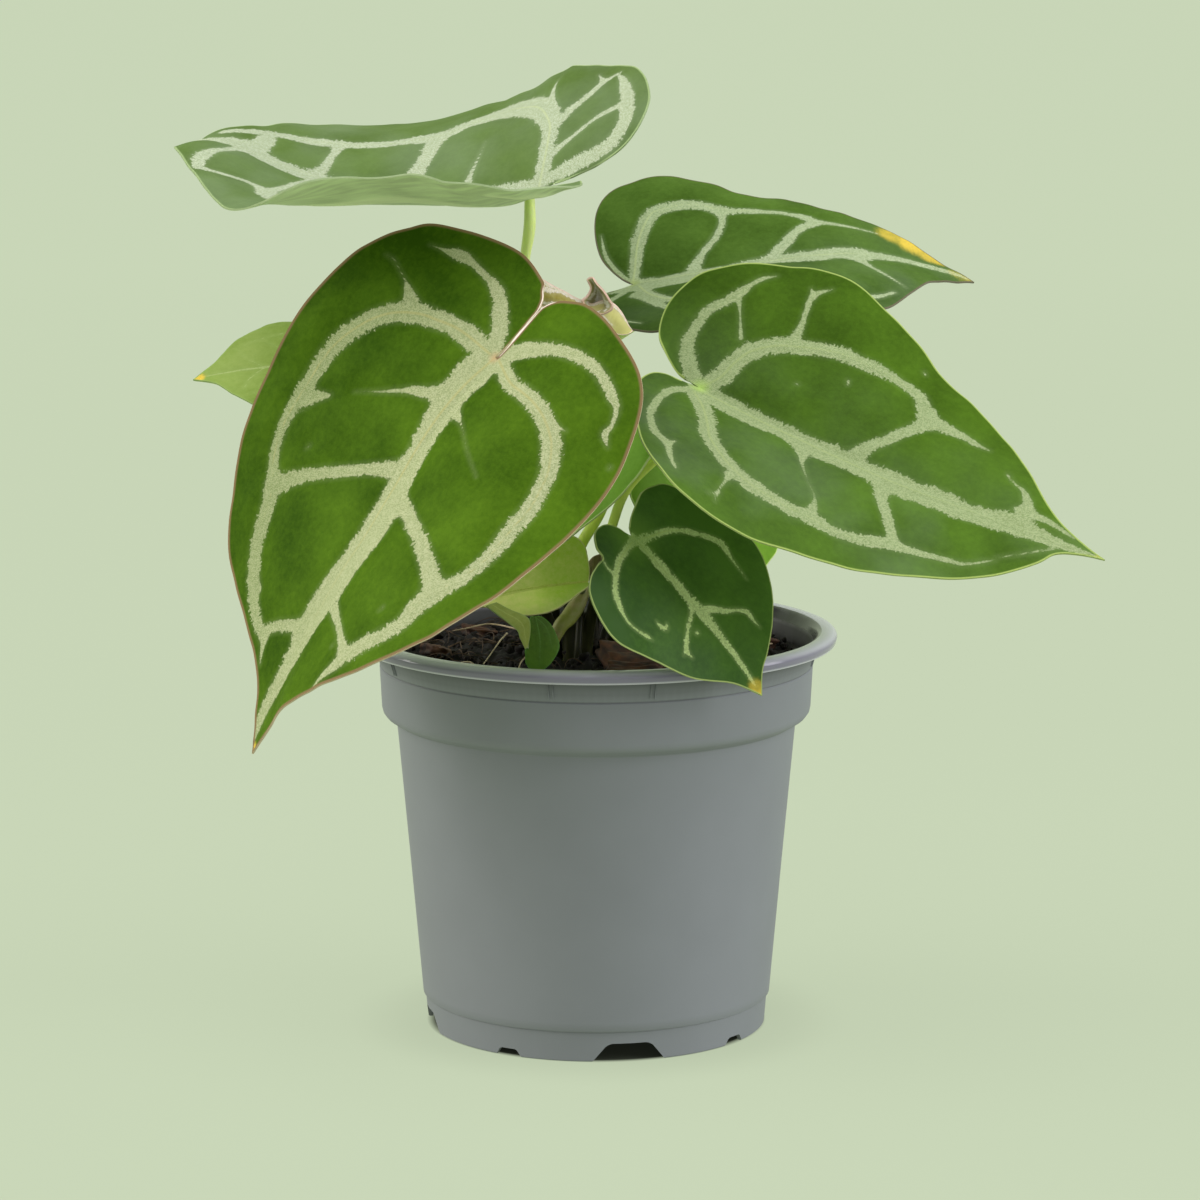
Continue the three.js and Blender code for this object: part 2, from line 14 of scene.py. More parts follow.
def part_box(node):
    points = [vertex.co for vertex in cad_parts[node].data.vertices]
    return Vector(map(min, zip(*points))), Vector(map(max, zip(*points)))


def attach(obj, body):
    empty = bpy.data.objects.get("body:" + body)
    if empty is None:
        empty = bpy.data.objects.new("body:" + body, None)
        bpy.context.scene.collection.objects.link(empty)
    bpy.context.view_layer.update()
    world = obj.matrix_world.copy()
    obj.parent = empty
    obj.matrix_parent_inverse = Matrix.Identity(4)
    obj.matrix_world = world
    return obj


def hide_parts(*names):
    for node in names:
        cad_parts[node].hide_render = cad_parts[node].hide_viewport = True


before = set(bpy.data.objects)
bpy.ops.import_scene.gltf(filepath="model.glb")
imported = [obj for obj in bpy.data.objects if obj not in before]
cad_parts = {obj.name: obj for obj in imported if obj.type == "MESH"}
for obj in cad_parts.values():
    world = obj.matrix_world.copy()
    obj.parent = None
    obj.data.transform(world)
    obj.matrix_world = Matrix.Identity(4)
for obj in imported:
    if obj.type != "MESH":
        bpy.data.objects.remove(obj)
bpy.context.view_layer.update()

bl_info = {
    "name": "Potted velvet-leaved aroid",
    "version": (1, 0, 0),
    "blender": (4, 5, 0),
    "location": "3D View > Sidebar > Aroid",
    "description": "Leaves, stems, peat and nursery pot over the packed solids",
    "category": "Object",
}

POT_LOW, POT_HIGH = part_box("pot")
# the pot's axis in the row frame, and the scale from millimetres to metres
AXIS = Vector(((POT_LOW[0] + POT_HIGH[0]) / 2, (POT_LOW[1] + POT_HIGH[1]) / 2, POT_LOW[2]))
MM = 0.001
RAD = math.pi / 180
IMAGE = 1200                # side of the square image, in pixels
FLAT_UNIT = 100             # one unit of a blade's flat map, in mm
FULL_GROWN = 110            # length in mm of a leaf whose veins show at full size


# ------------------------------------------------------------------ leaves
# A leaf lies flat as (along the midrib, to its own left) from its petiole point.
# It is bent by angles in degrees: droop and tip droop of the midrib, sweep to
# the left, twist, and for each half a fold at the midrib and a curl out to the
# margin, given as [left at base, left at tip, right at base, right at tip].
# left and right are its margins from the sinus to the tip; rays and rings are how
# finely the blade is divided.  The young bronze leaf's blade is furled, so it has
# only its place here, for its stem.
LEAVES = {
    "leaf_front_left": dict(
        attach=(-24, -44, 173), heading=197, pitch=-46, roll=22, length=111, span=51,
        droop=22, tip_droop=0, sweep=6, twist=11, lobe_lift=3,
        fold=(1, 15, 15, 3), curl=(-36, -33, 12, 9), rays=520, rings=78,
        left=[(-0.5, 0.75), (-4.4, 0.85), (-8.3, 0.9), (-12, 0.8), (-15, 0.65), (-16.4, 0.7), (-17.5, 1.3),
              (-18.6, 2.1), (-19.9, 3.7), (-21, 5.9), (-23, 13), (-22, 23), (-17, 37), (-7, 45),
              (12, 51), (37, 51), (58, 46), (77, 34), (96, 10), (103, 5), (111, 0)],
        right=[(-0.5, 0.6), (-4.4, 0.68), (-8.3, 0.7), (-12, 0.55), (-15, 0.35), (-17.1, -0.4), (-18.3, -1),
               (-19.9, -2.5), (-21.8, -4.5), (-24, -14), (-22, -25), (-17, -38),
               (-12, -43), (-3, -48), (15, -52), (37, -51), (51, -49), (65, -44), (75, -38),
               (84, -26), (94, -12), (103, -5), (111, 0)]),
    "leaf_front_right": dict(
        attach=(25, -26, 163.5), heading=-26, pitch=-22, roll=-30, length=108, span=45,
        droop=-1, tip_droop=0, sweep=10, twist=2, lobe_lift=-18,
        fold=(20, -1, 18, 2), curl=(-11, -26, 5, -43), rays=480, rings=74,
        left=[(-5, 0.6), (-8, 1.5), (-13, 5), (-17, 9), (-19, 15), (-19, 22), (-17, 29), (-12, 34),
              (-6, 39), (0, 42), (8, 45), (17, 46), (28, 44), (39, 40), (49, 35), (59, 32),
              (71, 26), (82, 18), (92, 8), (99, 3), (108, -1)],
        right=[(-5, -0.6), (-9, -1), (-12, -4), (-11, -11), (-5, -22), (2, -34), (9, -42),
               (16, -46), (24, -47), (33, -45), (43, -40), (54, -35), (64, -30), (75, -24),
               (86, -17), (94, -9), (97, -4.5), (102, -2), (108, -1)]),
    "leaf_top": dict(
        attach=(-15, 0, 209.5), heading=155, pitch=-12, roll=29, length=106, span=49,
        droop=-46, tip_droop=120, sweep=-16, twist=39, lobe_lift=7,
        fold=(13.8, -9.8, 28, 19), curl=(42, -28.3, -38, -30), rays=480, rings=78,
        left=[(-4, 1), (-8, 1.5), (-16, 6.6), (-20, 18.5), (-15, 36.8), (0, 49.4), (20, 52.5),
              (44, 60.9), (70, 39.9), (88, 17.6), (98, 5), (106, 0)],
        right=[(-6, -0.7), (-12, -1.4), (-25, -6), (-31, -17), (-23, -34), (-1, -45), (20, -48),
               (44, -57), (70, -36), (88, -17), (98, -4.5), (106, 0)]),
    "leaf_upper_right": dict(
        attach=(9.5, 32, 182.5), heading=3, pitch=16, roll=-24, length=94, span=41,
        droop=42, tip_droop=0, sweep=13, twist=1, lobe_lift=15,
        fold=(14, 6, 17, 5), curl=(-12, -31, -8, -32), rays=420, rings=64,
        left=[(-1, 1), (-3, 4), (-6, 12), (-6, 22), (-4, 31), (0, 37.5), (5, 40.8), (12, 42), (20, 41.4),
              (30, 35.6), (36, 31), (49, 27.4), (55, 24.6), (60, 23), (65, 22), (70, 19.8), (74, 15.6),
              (78, 11), (85, 4.6), (94, -1)],
        right=[(-4, -0.6), (-10, -1.5), (-16, -6), (-18, -14), (-16, -24), (-11, -32), (-5, -36),
               (2, -41), (14, -42), (28, -40), (42, -34), (58, -26), (69, -16), (79, -7),
               (94, -1)]),
    "leaf_small_front": dict(
        attach=(8.5, -47, 130.5), heading=-10, pitch=-44, roll=-30, length=49, span=26,
        droop=6, tip_droop=0, sweep=-11, twist=16, lobe_lift=7,
        fold=(9, 14, 15, 7), curl=(-19, -15, -15, -21), rays=300, rings=48,
        left=[(-2, 1.5), (-4, 5), (-6, 12), (-5, 17), (-3, 21), (3, 25), (10, 27.5), (18, 27),
              (26, 23), (34, 16), (41, 8), (44, 4), (49, 0)],
        right=[(-2, -1), (-4, -2), (-6.4, -4.8), (-7.2, -8.5), (-6.4, -12), (-4, -14.6),
               (-1.2, -15.4), (-0.9, -19), (0, -23.5), (2.4, -27), (6, -28.4), (11, -28.8),
               (16, -27.8), (21, -25), (27, -20.6), (36, -14), (42, -6), (45, -3), (49, 0)]),
    "leaf_far_left": dict(
        attach=(-60.5, 8, 165), heading=193, pitch=4, roll=32, length=40, span=21,
        droop=19, tip_droop=0, sweep=1, twist=0, lobe_lift=0,
        fold=(6, 8, 4, 8), curl=(-20, -20, -20, -20), rays=200, rings=32,
        left=[(-3, 1), (-8, 5), (-10, 12), (-6, 19), (3, 22), (14, 21), (25, 15), (31, 9),
              (35, 3.5), (40, 0)],
        right=[(-3, -1), (-8, -5), (-10, -11), (-6, -17), (2, -19), (12, -18.5), (20, -17),
               (29, -10), (34, -4), (40, 0)]),
    "leaf_inner_left": dict(
        attach=(6, -14, 157), heading=205, pitch=-58, roll=6, length=39, span=16,
        droop=8, tip_droop=0, sweep=0, twist=0, lobe_lift=0,
        fold=(12, 8, 12, 8), curl=(-14, -14, -14, -14), rays=180, rings=30,
        left=[(-3.6, 0.8), (-7, 5), (-9, 12), (-6, 19), (0, 22.6), (5, 23.8), (9, 23.4), (14.8, 21.9),
              (17.8, 20.3), (22, 18.1), (25.2, 15.4), (30, 10.6), (35, 4.8), (39, 0)],
        right=[(-3.6, -0.8), (-6.8, -2.56), (-8, -6.08), (-5.6, -11.52), (0, -15.2), (7.8, -16),
               (17.16, -13.92), (26.52, -8.96), (32.76, -4.16), (36.27, -1.44), (39, 0)]),
    "leaf_inner_right": dict(
        attach=(25, 1, 136.5), heading=-60, pitch=-70, roll=14, length=42, span=19,
        droop=6, tip_droop=0, sweep=0, twist=0, lobe_lift=0,
        fold=(8, 6, 8, 6), curl=(-14, -14, -14, -14), rays=180, rings=30,
        left=[(-4, 1), (-9, 8), (-9, 17), (-3, 24), (5, 27.5), (12, 27.6), (17.5, 25.4), (21.8, 19.7),
              (28, 13), (35, 6), (42, 0)],
        right=[(-4, -1), (-9, -7), (-9, -15), (-4, -21), (1.5, -23.2), (4, -23.1), (12, -20), (20, -15.5),
               (30, -9), (37, -4), (42, 0)]),
    "leaf_pale_folded": dict(
        attach=(-2, -14.5, 114), heading=186, pitch=-6, roll=24, length=38, span=12,
        droop=12, tip_droop=0, sweep=0, twist=0, lobe_lift=0,
        fold=(-8, -8, 50, 40), curl=(-30, -30, 20, 10), rays=180, rings=30,
        left=[(-0.3, 0.8), (-0.1, 1.4), (2.5, 3.3), (6, 5.6), (9.4, 7.2), (12.6, 7.7), (16.7, 7.4),
              (21.6, 5.5), (25.5, 2.6), (30, 1.2), (38, 0)],
        right=[(-0.4, -0.6), (-0.8, -3), (-0.7, -6), (-0.3, -8.9), (1.5, -11.4), (4.5, -12.7),
               (9, -13.4), (16, -12.6), (25, -8.5), (32, -4), (38, 0)]),
    "leaf_curled_low": dict(
        attach=(-15.2, -29, 107.6), heading=-84, pitch=-52, roll=-4, length=14.5, span=6,
        droop=14, tip_droop=0, sweep=0, twist=0, lobe_lift=0,
        fold=(6, 6, 6, 6), curl=(-35, -35, -35, -35), rays=120, rings=22,
        left=[(-0.4, 0.3), (-0.4, 0.8), (-0.2, 1.9), (1.3, 3.7), (3.8, 5.1), (7, 6), (9.1, 5.4),
              (11.4, 4), (13.1, 2.3), (14.2, 0.2)],
        right=[(-0.5, 0.1), (-0.4, -0.5), (0.2, -1), (2.1, -1), (4.7, -1.6), (7.7, -2.1), (9.6, -2.6),
               (11.8, -2.5), (13.2, -1.6), (14.2, 0.2)]),
    "leaf_young_bronze": dict(
        attach=(0.5, -29, 183), heading=175, pitch=20, roll=30, length=24, span=8,
        droop=6, tip_droop=0, sweep=0, twist=0, lobe_lift=10,
        fold=(20, 30, 40, 40), curl=(30, 20, 20, 20)),
}

# Furled blades and sheaths are skinned over rails, given in mm about the pot's axis; length
# and width are those of the blade laid flat.
FURLS = {
    "leaf_young_bronze": dict(length=24, width=4.6, rails=[
        [(-14.4, -31, 184.1), (-10.6, -31, 182.8), (-7.9, -31, 181.9), (-5.3, -31, 181.2),
         (-2.9, -31, 181), (-0.5, -30.5, 179.8), (1.4, -30, 178.7), (3.1, -29, 177.7), (4.8, -28, 176.8),
         (6.5, -27.5, 176.5), (7.9, -27, 176.7)],
        [(-14.0, -30.6, 187.6), (-10.3, -30.8, 185.8), (-7.8, -30.8, 184.7), (-5.4, -30.8, 183.7),
         (-3.1, -30.6, 183.1), (-0.7, -30.2, 182.2), (1.7, -29.6, 182), (3.7, -28.8, 181),
         (5.5, -28, 179.5), (7.2, -27, 177.8), (8.4, -26.5, 177)],
        [(-13.9, -29, 190.7), (-10, -29, 188.4), (-7.6, -29, 187.2), (-5.6, -29, 186), (-3.4, -29, 185),
         (-1, -28.5, 184.1), (1.9, -28, 185), (4.2, -27.5, 184.1), (6.1, -27, 182), (7.8, -26.5, 178.8),
         (8.8, -26, 177.3)]]),
    "leaf_young_bronze_cup": dict(length=11, width=5, rails=[
        [(-2.3, -30, 190.1), (-1.7, -30, 189.2), (-1.3, -30, 187.9), (-2.2, -30.5, 186.2),
         (-3.4, -31, 185.2), (-2.7, -31, 183.8), (-1, -31, 182.6)],
        [(-1.5, -30, 190.6), (-0.5, -28, 188.9), (0.4, -26, 187), (0.4, -25, 184.9), (0.2, -26, 183.6),
         (0.2, -28, 182.9), (0.3, -31, 182.1)],
        [(-0.7, -30.5, 190.7), (0.2, -31, 189.3), (2, -32, 187.4), (3.3, -32.5, 185.4), (4, -32.5, 184.3),
         (3.7, -32.5, 183.1), (1.6, -32, 181.9)]]),
    "leaf_curled_low_wing": dict(length=13, width=3.6, rails=[
        [(-26.7, -29, 110.6), (-23.8, -30, 108.5), (-21.4, -30.5, 106.7), (-19.1, -31, 104.8),
         (-18.5, -32, 103.2), (-17.1, -33.5, 100.8)],
        [(-24.3, -27.5, 111.1), (-20.9, -28, 109.4), (-18, -28.5, 108.3), (-16.2, -29.5, 107.2),
         (-15.9, -31.5, 104.4), (-16.5, -34, 101.1)]]),
    "crown_sheath": dict(length=5.7, width=3, rails=[
        [(-1.8, -12, 118.6), (-2, -12, 116.6), (-2.3, -13, 114.3)],
        [(-0.5, -13, 120.2), (-0.5, -14, 117.4), (-1.3, -14.5, 114.3)],
        [(1.4, -12, 120.8), (1.2, -13, 117.8), (0.2, -14, 114.9)]]),
}

# The veins of each leaf as (along, to the left, half width) in mm.  The first three
# are its main veins, which carry a fine centre line; short ones are specks.
MAIN_VEINS = 3
VEINS = {
    "leaf_front_left": [
        [(0, 0, 2.2), (10, -1.5, 2.6), (20, -1.7, 2.4), (30, -0.8, 2.2), (40, 0.3, 2), (50, 1, 2),
         (60, 1.2, 2), (70, 0.8, 2), (80, 0.2, 1.8), (90, -0.8, 1.4), (100, -1.8, 0.9), (109, -1.6, 0.4)],
        [(0, -2, 2.6), (-0.2, -10, 2.8), (0.2, -15, 2.3), (1.4, -20, 2.4), (2.8, -25, 2.5),
         (6, -30.5, 2.5), (10, -34.2, 2.4), (15, -37, 2.5), (20, -38.8, 2.4), (25, -39.4, 2.3),
         (32, -39.3, 2.1), (40, -39.6, 1.6), (45, -38.9, 1.5), (50, -37.2, 1.6), (54, -34.2, 2.5),
         (60, -32.7, 2.3), (65, -32, 2.3), (70, -30.6, 2.3), (75, -27.6, 2.2), (80, -24, 2),
         (83, -20.6, 1.8), (85.3, -17, 1.5), (86.5, -14.6, 1.2)],
        [(0, 2, 2.4), (2.7, 10, 2), (2.9, 15, 2.1), (3.3, 20, 2.3), (4.6, 25, 2.3), (7.3, 30, 2.5),
         (10, 32.9, 2.6), (15, 36.4, 2.2), (20, 38.2, 2), (25, 39.6, 2.2), (30, 39.9, 2.3),
         (35, 40.2, 2.3), (40, 40.4, 1.8), (45, 40, 1.7), (50, 38.6, 2.1), (54, 35.6, 3),
         (60, 34.4, 2.6), (65, 33.8, 2.1), (70, 30.9, 2.2), (75, 26.7, 2.2), (78.5, 24.2, 2.2),
         (82, 22.4, 1.5), (86, 20, 0.8), (89, 18.7, 0.25)],
        [(3, -0.8, 4.6), (6, -1.6, 5.2), (10, -2.2, 4.6), (20, -1.6, 3.9), (30, 0.4, 3.4),
         (36, 1.4, 4.1), (43, 3, 4.8), (50, 3.3, 5.3), (60, 2.6, 5), (69, 1.7, 5.8), (75, 0.2, 5.1),
         (80, -0.7, 4.4), (85, -0.6, 3.4), (90, -1.2, 2.7), (95, -2.2, 2.2), (100, -2.8, 1.6),
         (105, -2.6, 1.1), (109, -1.8, 0.5)],
        [(41, 5, 2.6), (42, 10, 2), (43.8, 15, 1.9), (45.6, 20, 2), (48, 25, 2.1), (50.8, 30, 2.3),
         (54, 35, 2.8)],
        [(70.5, 8, 1.6), (72.3, 12, 1.2), (74.2, 16, 1.1), (76.2, 20, 1.3), (78, 23, 1.8)],
        [(-1, 2, 2.4), (-4.5, 5, 2.4), (-8, 10, 2), (-10.4, 15, 1.7), (-11.7, 20, 1.6),
         (-12.1, 25, 1.4), (-11.3, 30, 1.4), (-9.2, 35, 1.2), (-7.6, 38, 0.8), (-4, 39.8, 0.5),
         (-1.5, 40, 0.9), (0.5, 42.6, 0.2)],
        [(-1, -1.5, 2.2), (-5.4, -4, 2.3), (-8, -6.2, 2.2), (-10.5, -8.8, 1.9), (-12.8, -11.8, 1.8),
         (-13.9, -15.2, 1.3), (-14.5, -19.4, 0.8), (-14.9, -22.8, 1), (-14.7, -26, 1.4),
         (-14.1, -28.5, 1.4), (-13.3, -30.8, 0.7), (-12.7, -33.1, 0.2), (-12, -35.5, 0.05)],
        [(2, -28.5, 2), (0.4, -31.2, 1.3), (-1.2, -34, 0.3), (-2.4, -37, 0.15), (-3.4, -40, 0.25),
         (-3.2, -42.5, 0.05)],
        [(34, -38, 2.4), (32, -35.5, 1.7), (30, -32, 0.5)],
        [(35, -2.5, 2.6), (36.8, -6, 1.9), (38.9, -10, 1.6), (41.8, -15, 1.5), (44.6, -20, 1.6),
         (47.6, -25, 1.6), (51, -30, 2.1), (54.5, -34, 2.8)],
        [(78.5, -3, 2.2), (80.3, -8, 1.6), (82, -12, 1.5), (84.6, -15.2, 1.6), (88, -14, 0.8),
         (92, -12, 0.2)],
        [(14, -5, 2.8), (16.3, -9, 1.6), (18, -13, 1), (19.8, -16, 0.6), (22.3, -20, 0.3),
         (24.5, -24, 0.05), (26, -26.5, -0.1)],
        [(16.5, 3, 1.5), (17.3, 5.5, 0.5), (18.6, 8.5, 0.12), (22, 14, 0), (26, 22, -0.08)],
        [(5, 28, 0.9), (4, 32, 0.1)], [(76, -26, 1.6), (76.5, -23.5, 0.3)],
        [(64, 25.5, 0.25), (65, 25, 0.1)], [(78, 17, 0.2), (78.2, 16.5, 0.15)],
        [(4, 46.5, 0.25), (4.6, 46.6, 0.1)], [(42, -29.5, 0.25), (42.8, -30, 0.1)],
    ],
    "leaf_front_right": [
        [(0, -1, 2.2), (10, -1.3, 2.3), (20, -1.5, 2.2), (30, -1.5, 2.2), (40, -2, 2.2), (50, -2, 2.2),
         (60, -1.8, 2.2), (70, -1, 2), (80, -0.5, 1.8), (90, -0.5, 1.4), (100, -1, 0.9), (106.5, -1.3, 0.3)],
        [(0, 0, 2.4), (2.8, 5, 2.7), (3.6, 10, 2.7), (5.3, 15, 2.6), (10, 19.5, 2.4), (15, 21.9, 2.2),
         (20, 24, 2.1), (25, 25.6, 2.1), (30, 26, 1.9), (35, 26.5, 1.9), (40, 26.4, 1.4),
         (45, 25.8, 1.5), (48, 24.9, 1.8), (51, 21.9, 2.2), (54, 20, 2.5), (58, 20, 1.7),
         (62, 20.2, 1.2), (66, 19.8, 0.8), (70, 19.8, 0.15)],
        [(0, -3, 2.2), (3.5, -6, 2.3), (7, -10, 2.3), (10.5, -15, 2.3), (14, -20, 2.3),
         (20, -24.6, 2.1), (25, -26.9, 2.2), (30, -28, 2.4), (35, -28, 1.9), (40, -27.6, 1.9),
         (44, -26.6, 2.2), (50, -26.3, 1.4), (55, -25, 1.6), (60, -22.5, 1.7), (63, -21.2, 1.6),
         (70, -19.2, 0.9), (75, -17.9, 0.7), (79, -17, 0.5), (85, -12.6, 0.25)],
        [(3, -1.3, 3), (10, -2, 3.4), (17, -2, 3.2), (25, -1.4, 2.8), (32, -2.3, 3.6), (40, -1.7, 3.5),
         (47, -2, 3.3), (54, -2.4, 4), (60, -2.2, 3.5), (66, -1.4, 3.7), (72, -1.9, 3.1),
         (78, -1, 3.1), (84, 0.3, 3.6), (90, -0.3, 2.7), (95, -0.8, 1.6), (101, -1, 1), (106, -1.3, 0.4)],
        [(43, 2, 2.4), (44.5, 5, 1.7), (47.9, 10, 1.5), (50.8, 15, 1.6), (53, 18.5, 2.2)],
        [(-2, 1, 2), (-6.2, 5, 2.1), (-9.4, 10, 1.7), (-9.9, 15, 1.4), (-9.8, 20, 1.3), (-7.1, 25, 1.3),
         (-6, 28, 1.2), (-4.9, 32, 0.6), (-3.6, 35, 0.6), (-1.5, 37.6, 0.2)],
        [(-6, 28, 0.8), (-2.5, 22.5, 0.25), (1, 17, 0.6)],
        [(12.8, 24, 1.5), (12.1, 28, 0.8), (10.9, 32, 0.7), (10, 37, 0.8), (13, 41, 0.2)],
        [(10.2, 36.5, 0.7), (8.2, 38.5, 0.2)],
        [(24, -29, 1.5), (24.6, -32, 0.55), (25.1, -36, 0.32), (26, -39.4, 0.25), (26.6, -41.4, 0.02)],
        [(25.6, -37.5, 0.2), (24.4, -39.6, 0.15), (24.2, -40.6, 0.02)],
        [(31.5, -5, 2.4), (32.7, -8, 1.1), (34.4, -11, 0.45), (37.7, -15, 0.2), (42.2, -20, 0.35),
         (43.6, -24.5, 1.5)],
        [(53, -5, 2.6), (54.8, -9.5, 1.6), (57, -12.5, 1.3), (59.3, -15.5, 1.3), (61.5, -18.5, 1.3),
         (62.5, -21, 1.9)],
        [(-1.5, -3, 1.6), (-3.9, -7, 1.5), (-3.8, -12, 1), (-3, -16, 1), (-2, -20, 1), (0.4, -25, 0.9),
         (4.2, -30, 1.2), (9, -32.8, 1), (12, -37, 0.8), (14.5, -39.5, 0.6), (15.3, -40.5, 0.1)],
        [(9, -32.5, 0.9), (9.5, -29.5, 0.3)],
        [(86, 4, 1.8), (85, 8, 1.4), (82.5, 12, 0.7), (79.5, 13.3, 0.35), (77, 15, 0.4)],
        [(84, 5, 1.5), (88, 5.3, 1.3), (92, 4.6, 0.9), (96, 3.3, 0.6), (99.5, 2, 0.2)],
        [(96, -3, 0.5), (91, -7, 0.3), (85, -11.5, 0.2)],
        [(30.5, 19.5, 0.4), (31, 18.5, 0.3)], [(45, 33, 0.4), (45.5, 32.5, 0.3)],
        [(20, 12.5, 0.3), (20.5, 12.5, 0.2)],
    ],
    "leaf_top": [
        [(0, 0, 2.8), (20, 0, 2.6), (41, 1, 2.5), (63, 2, 2.4), (76, 2, 2.2), (90, 1, 1.6), (104, 0, 0.5)],
        [(-1, 2, 2.2), (-1.6, -6, 2.2), (-1.8, -14, 2.4), (-1, -20, 3), (3, -26, 3.8), (8, -29.8, 4),
         (15, -32.5, 4.2), (20, -33, 4), (25, -32, 3.2), (30, -30, 2.6), (34, -26.3, 2.8),
         (37, -24.4, 3), (41, -23.4, 2.6), (45, -22.2, 2), (50, -20, 1.8), (55, -18.3, 1.9),
         (60, -17, 1.8), (65, -16.2, 1.9), (70, -15.2, 2), (76, -14.7, 2.1), (81, -13.2, 2.2),
         (86, -10, 2.3), (92, -6, 1.2)],
        [(0, 2, 2.2), (1, 14, 2.2), (5, 26, 3), (14, 34, 3.4), (26, 37, 3), (40, 36, 2.6),
         (52, 33.5, 2.8), (58, 29.5, 3), (62.4, 25.6, 2.4), (66, 23.2, 1.1), (70, 22.2, 0.9),
         (75.1, 23.2, 0.8), (80.8, 24.3, 1)],
        [(56, 2.6, 2.5), (62, 3.8, 2.8), (70, 3.4, 2.6), (77, 1.6, 3.4), (83, -0.8, 3), (90, -0.6, 1.7),
         (99, 0, 0.7)],
        [(80.8, 24.3, 1), (82.8, 18, 1.7), (82.2, 11, 1.2), (80.4, 5, 1.6), (78.5, 0, 2)],
        [(35.7, 0, 2.8), (35.8, -8, 2.4), (35.6, -15, 2.3), (36.2, -22, 3)],
        [(19.6, -2, 1.2), (19.6, -8, 0.7), (19.3, -14, 0.25), (19.6, -19, 0)],
        [(59.6, 0, 2), (60.2, -7, 1.2), (61, -12, 1.3), (61.5, -16, 1.8)],
        [(77, 0, 3), (78, -5, 3), (79.5, -11, 2.5)],
        [(-1.5, -22, 2.4), (1, -29, 1.4), (2.4, -35, 0.7), (3.2, -40, 0.2)],
        [(-3, -20, 2), (-7, -24.5, 1.4), (-10.5, -28.5, 1.2), (-13.5, -32.5, 1.1), (-18, -34.5, 0.4)],
        [(-13, -33, 0.9), (-10.5, -37, 0.2)],
        [(-3, -2, 1.6), (-8, -3.6, 2.2), (-14, -5.4, 2.3), (-20, -7.6, 2.2), (-23.6, -12, 2.4),
         (-24, -17, 2.3), (-22.6, -24, 2), (-20.4, -29.5, 1.2), (-18, -33, 0.5)],
        [(-21.5, -20.5, 1), (-15, -18, 0.7), (-8, -13, 0.7), (-4, -10, 1.2)],
        [(36, 2, 2.4), (43, 14, 1.6), (50, 31, 2)], [(58, 4, 1.8), (60, 15, 1.4), (62, 27, 1.8)],
        [(-3, 3, 1.6), (-9, 12, 1.5), (-13, 22, 1.4), (-11, 30, 1.2), (-6, 37, 0.4)],
    ],
    "leaf_upper_right": [
        [(0, 0.5, 1.6), (10, -3.5, 1.8), (20, -4, 2), (30, -2.2, 1.8), (40, -1, 1.8), (50, 0.4, 1.8),
         (60, 1.4, 1.6), (70, 1.4, 1.1), (80, 0.7, 0.9), (92, -0.6, 0.4)],
        [(0, 1, 1.4), (1.4, 5, 1.5), (2.8, 10, 1.6), (4.4, 15, 1.9), (6.8, 20, 2.1), (10, 25, 2.2),
         (13, 26.3, 2.2), (17, 26.8, 2.2), (20, 26.4, 2.1), (24, 25, 1.9), (27, 23, 2.1),
         (30, 21.9, 1.8), (35, 21, 1.4), (40, 20, 1), (45, 19.3, 0.9), (50, 17.9, 1.4), (53, 16.5, 1.5),
         (58, 15.6, 0.9), (63, 14.6, 0.7), (68, 13.1, 0.4), (71, 12, 0.1)],
        [(1, -3, 1.8), (3, -14, 1.6), (9, -24, 1.5), (20, -29, 1.5), (34, -27, 1.4), (47, -22, 1.2),
         (56, -21.5, 0.8), (63, -18, 0.4)],
        [(-5, -1.5, 2), (0, -3, 3.6), (5, -4.5, 4.6), (11, -5.4, 4.6), (17, -4.6, 3.4), (22, -4, 2.8),
         (30, -2, 2.4), (35, -1.1, 2.2), (42, -1.2, 2.8), (48, -0.6, 2.5), (54, 1.1, 2.4),
         (60, 1.3, 2.6), (65, 1.7, 1.6), (71, 1.5, 1.1), (80, 0.8, 0.9), (90, 0, 0.6)],
        [(15, -1, 2), (17, 2, 1.4), (19.3, 5.5, 0.9), (23.3, 10, 0.9), (26, 14, 0.9), (27.6, 18, 0.9),
         (27.8, 21, 1.8)],
        [(36.5, 0, 2), (38.8, 3, 1.5), (41.6, 6, 1.4), (45, 10, 1.2), (48.5, 13, 1.2), (52, 15.6, 1.7)],
        [(-1.5, 2, 0.9), (-3.6, 8, 0.6), (-4.8, 14, 0.6), (-4.3, 22, 0.15)],
        [(0, -10, 2.5), (1.5, -15, 1.5), (3, -20, 1.5), (4.4, -25, 1), (5.2, -28, 0.2)],
        [(58, -0.5, 2), (60, -3, 1.3), (61.6, -6, 0.9), (63.3, -9, 0.7), (65, -12, 0.5), (67, -15, 0.2)],
        [(-2, -4, 1.3), (-8, -10, 1.2), (-11, -18, 1.1), (-8, -27, 0.8), (-2, -33, 0.2)],
        [(30, -2, 1.2), (36, -14, 1), (40, -25, 0.9)],
    ],
    "leaf_small_front": [
        [(0, 0, 1.2), (5, 0, 1.3), (10, -0.2, 1.5), (15, -0.2, 1.4), (20, -0.2, 1.3), (24, 0, 1.5),
         (27, 0.2, 1.5), (30, 0.3, 1.1), (35, 0.2, 0.8), (40, 0.2, 0.7), (46, 0, 0.4)],
        [(2, 1, 1.2), (3.4, 5, 0.9), (4.4, 8, 0.8), (5.6, 10.3, 0.8), (8, 13.5, 0.8), (11, 16, 0.8),
         (14, 18, 0.95), (16, 18.2, 0.9), (19, 17.2, 0.5), (25, 16, 0.1)],
        [(1, -1.5, 1.2), (1.2, -5, 1), (1.5, -8, 0.95), (1.9, -10.5, 0.9), (3, -14, 0.9),
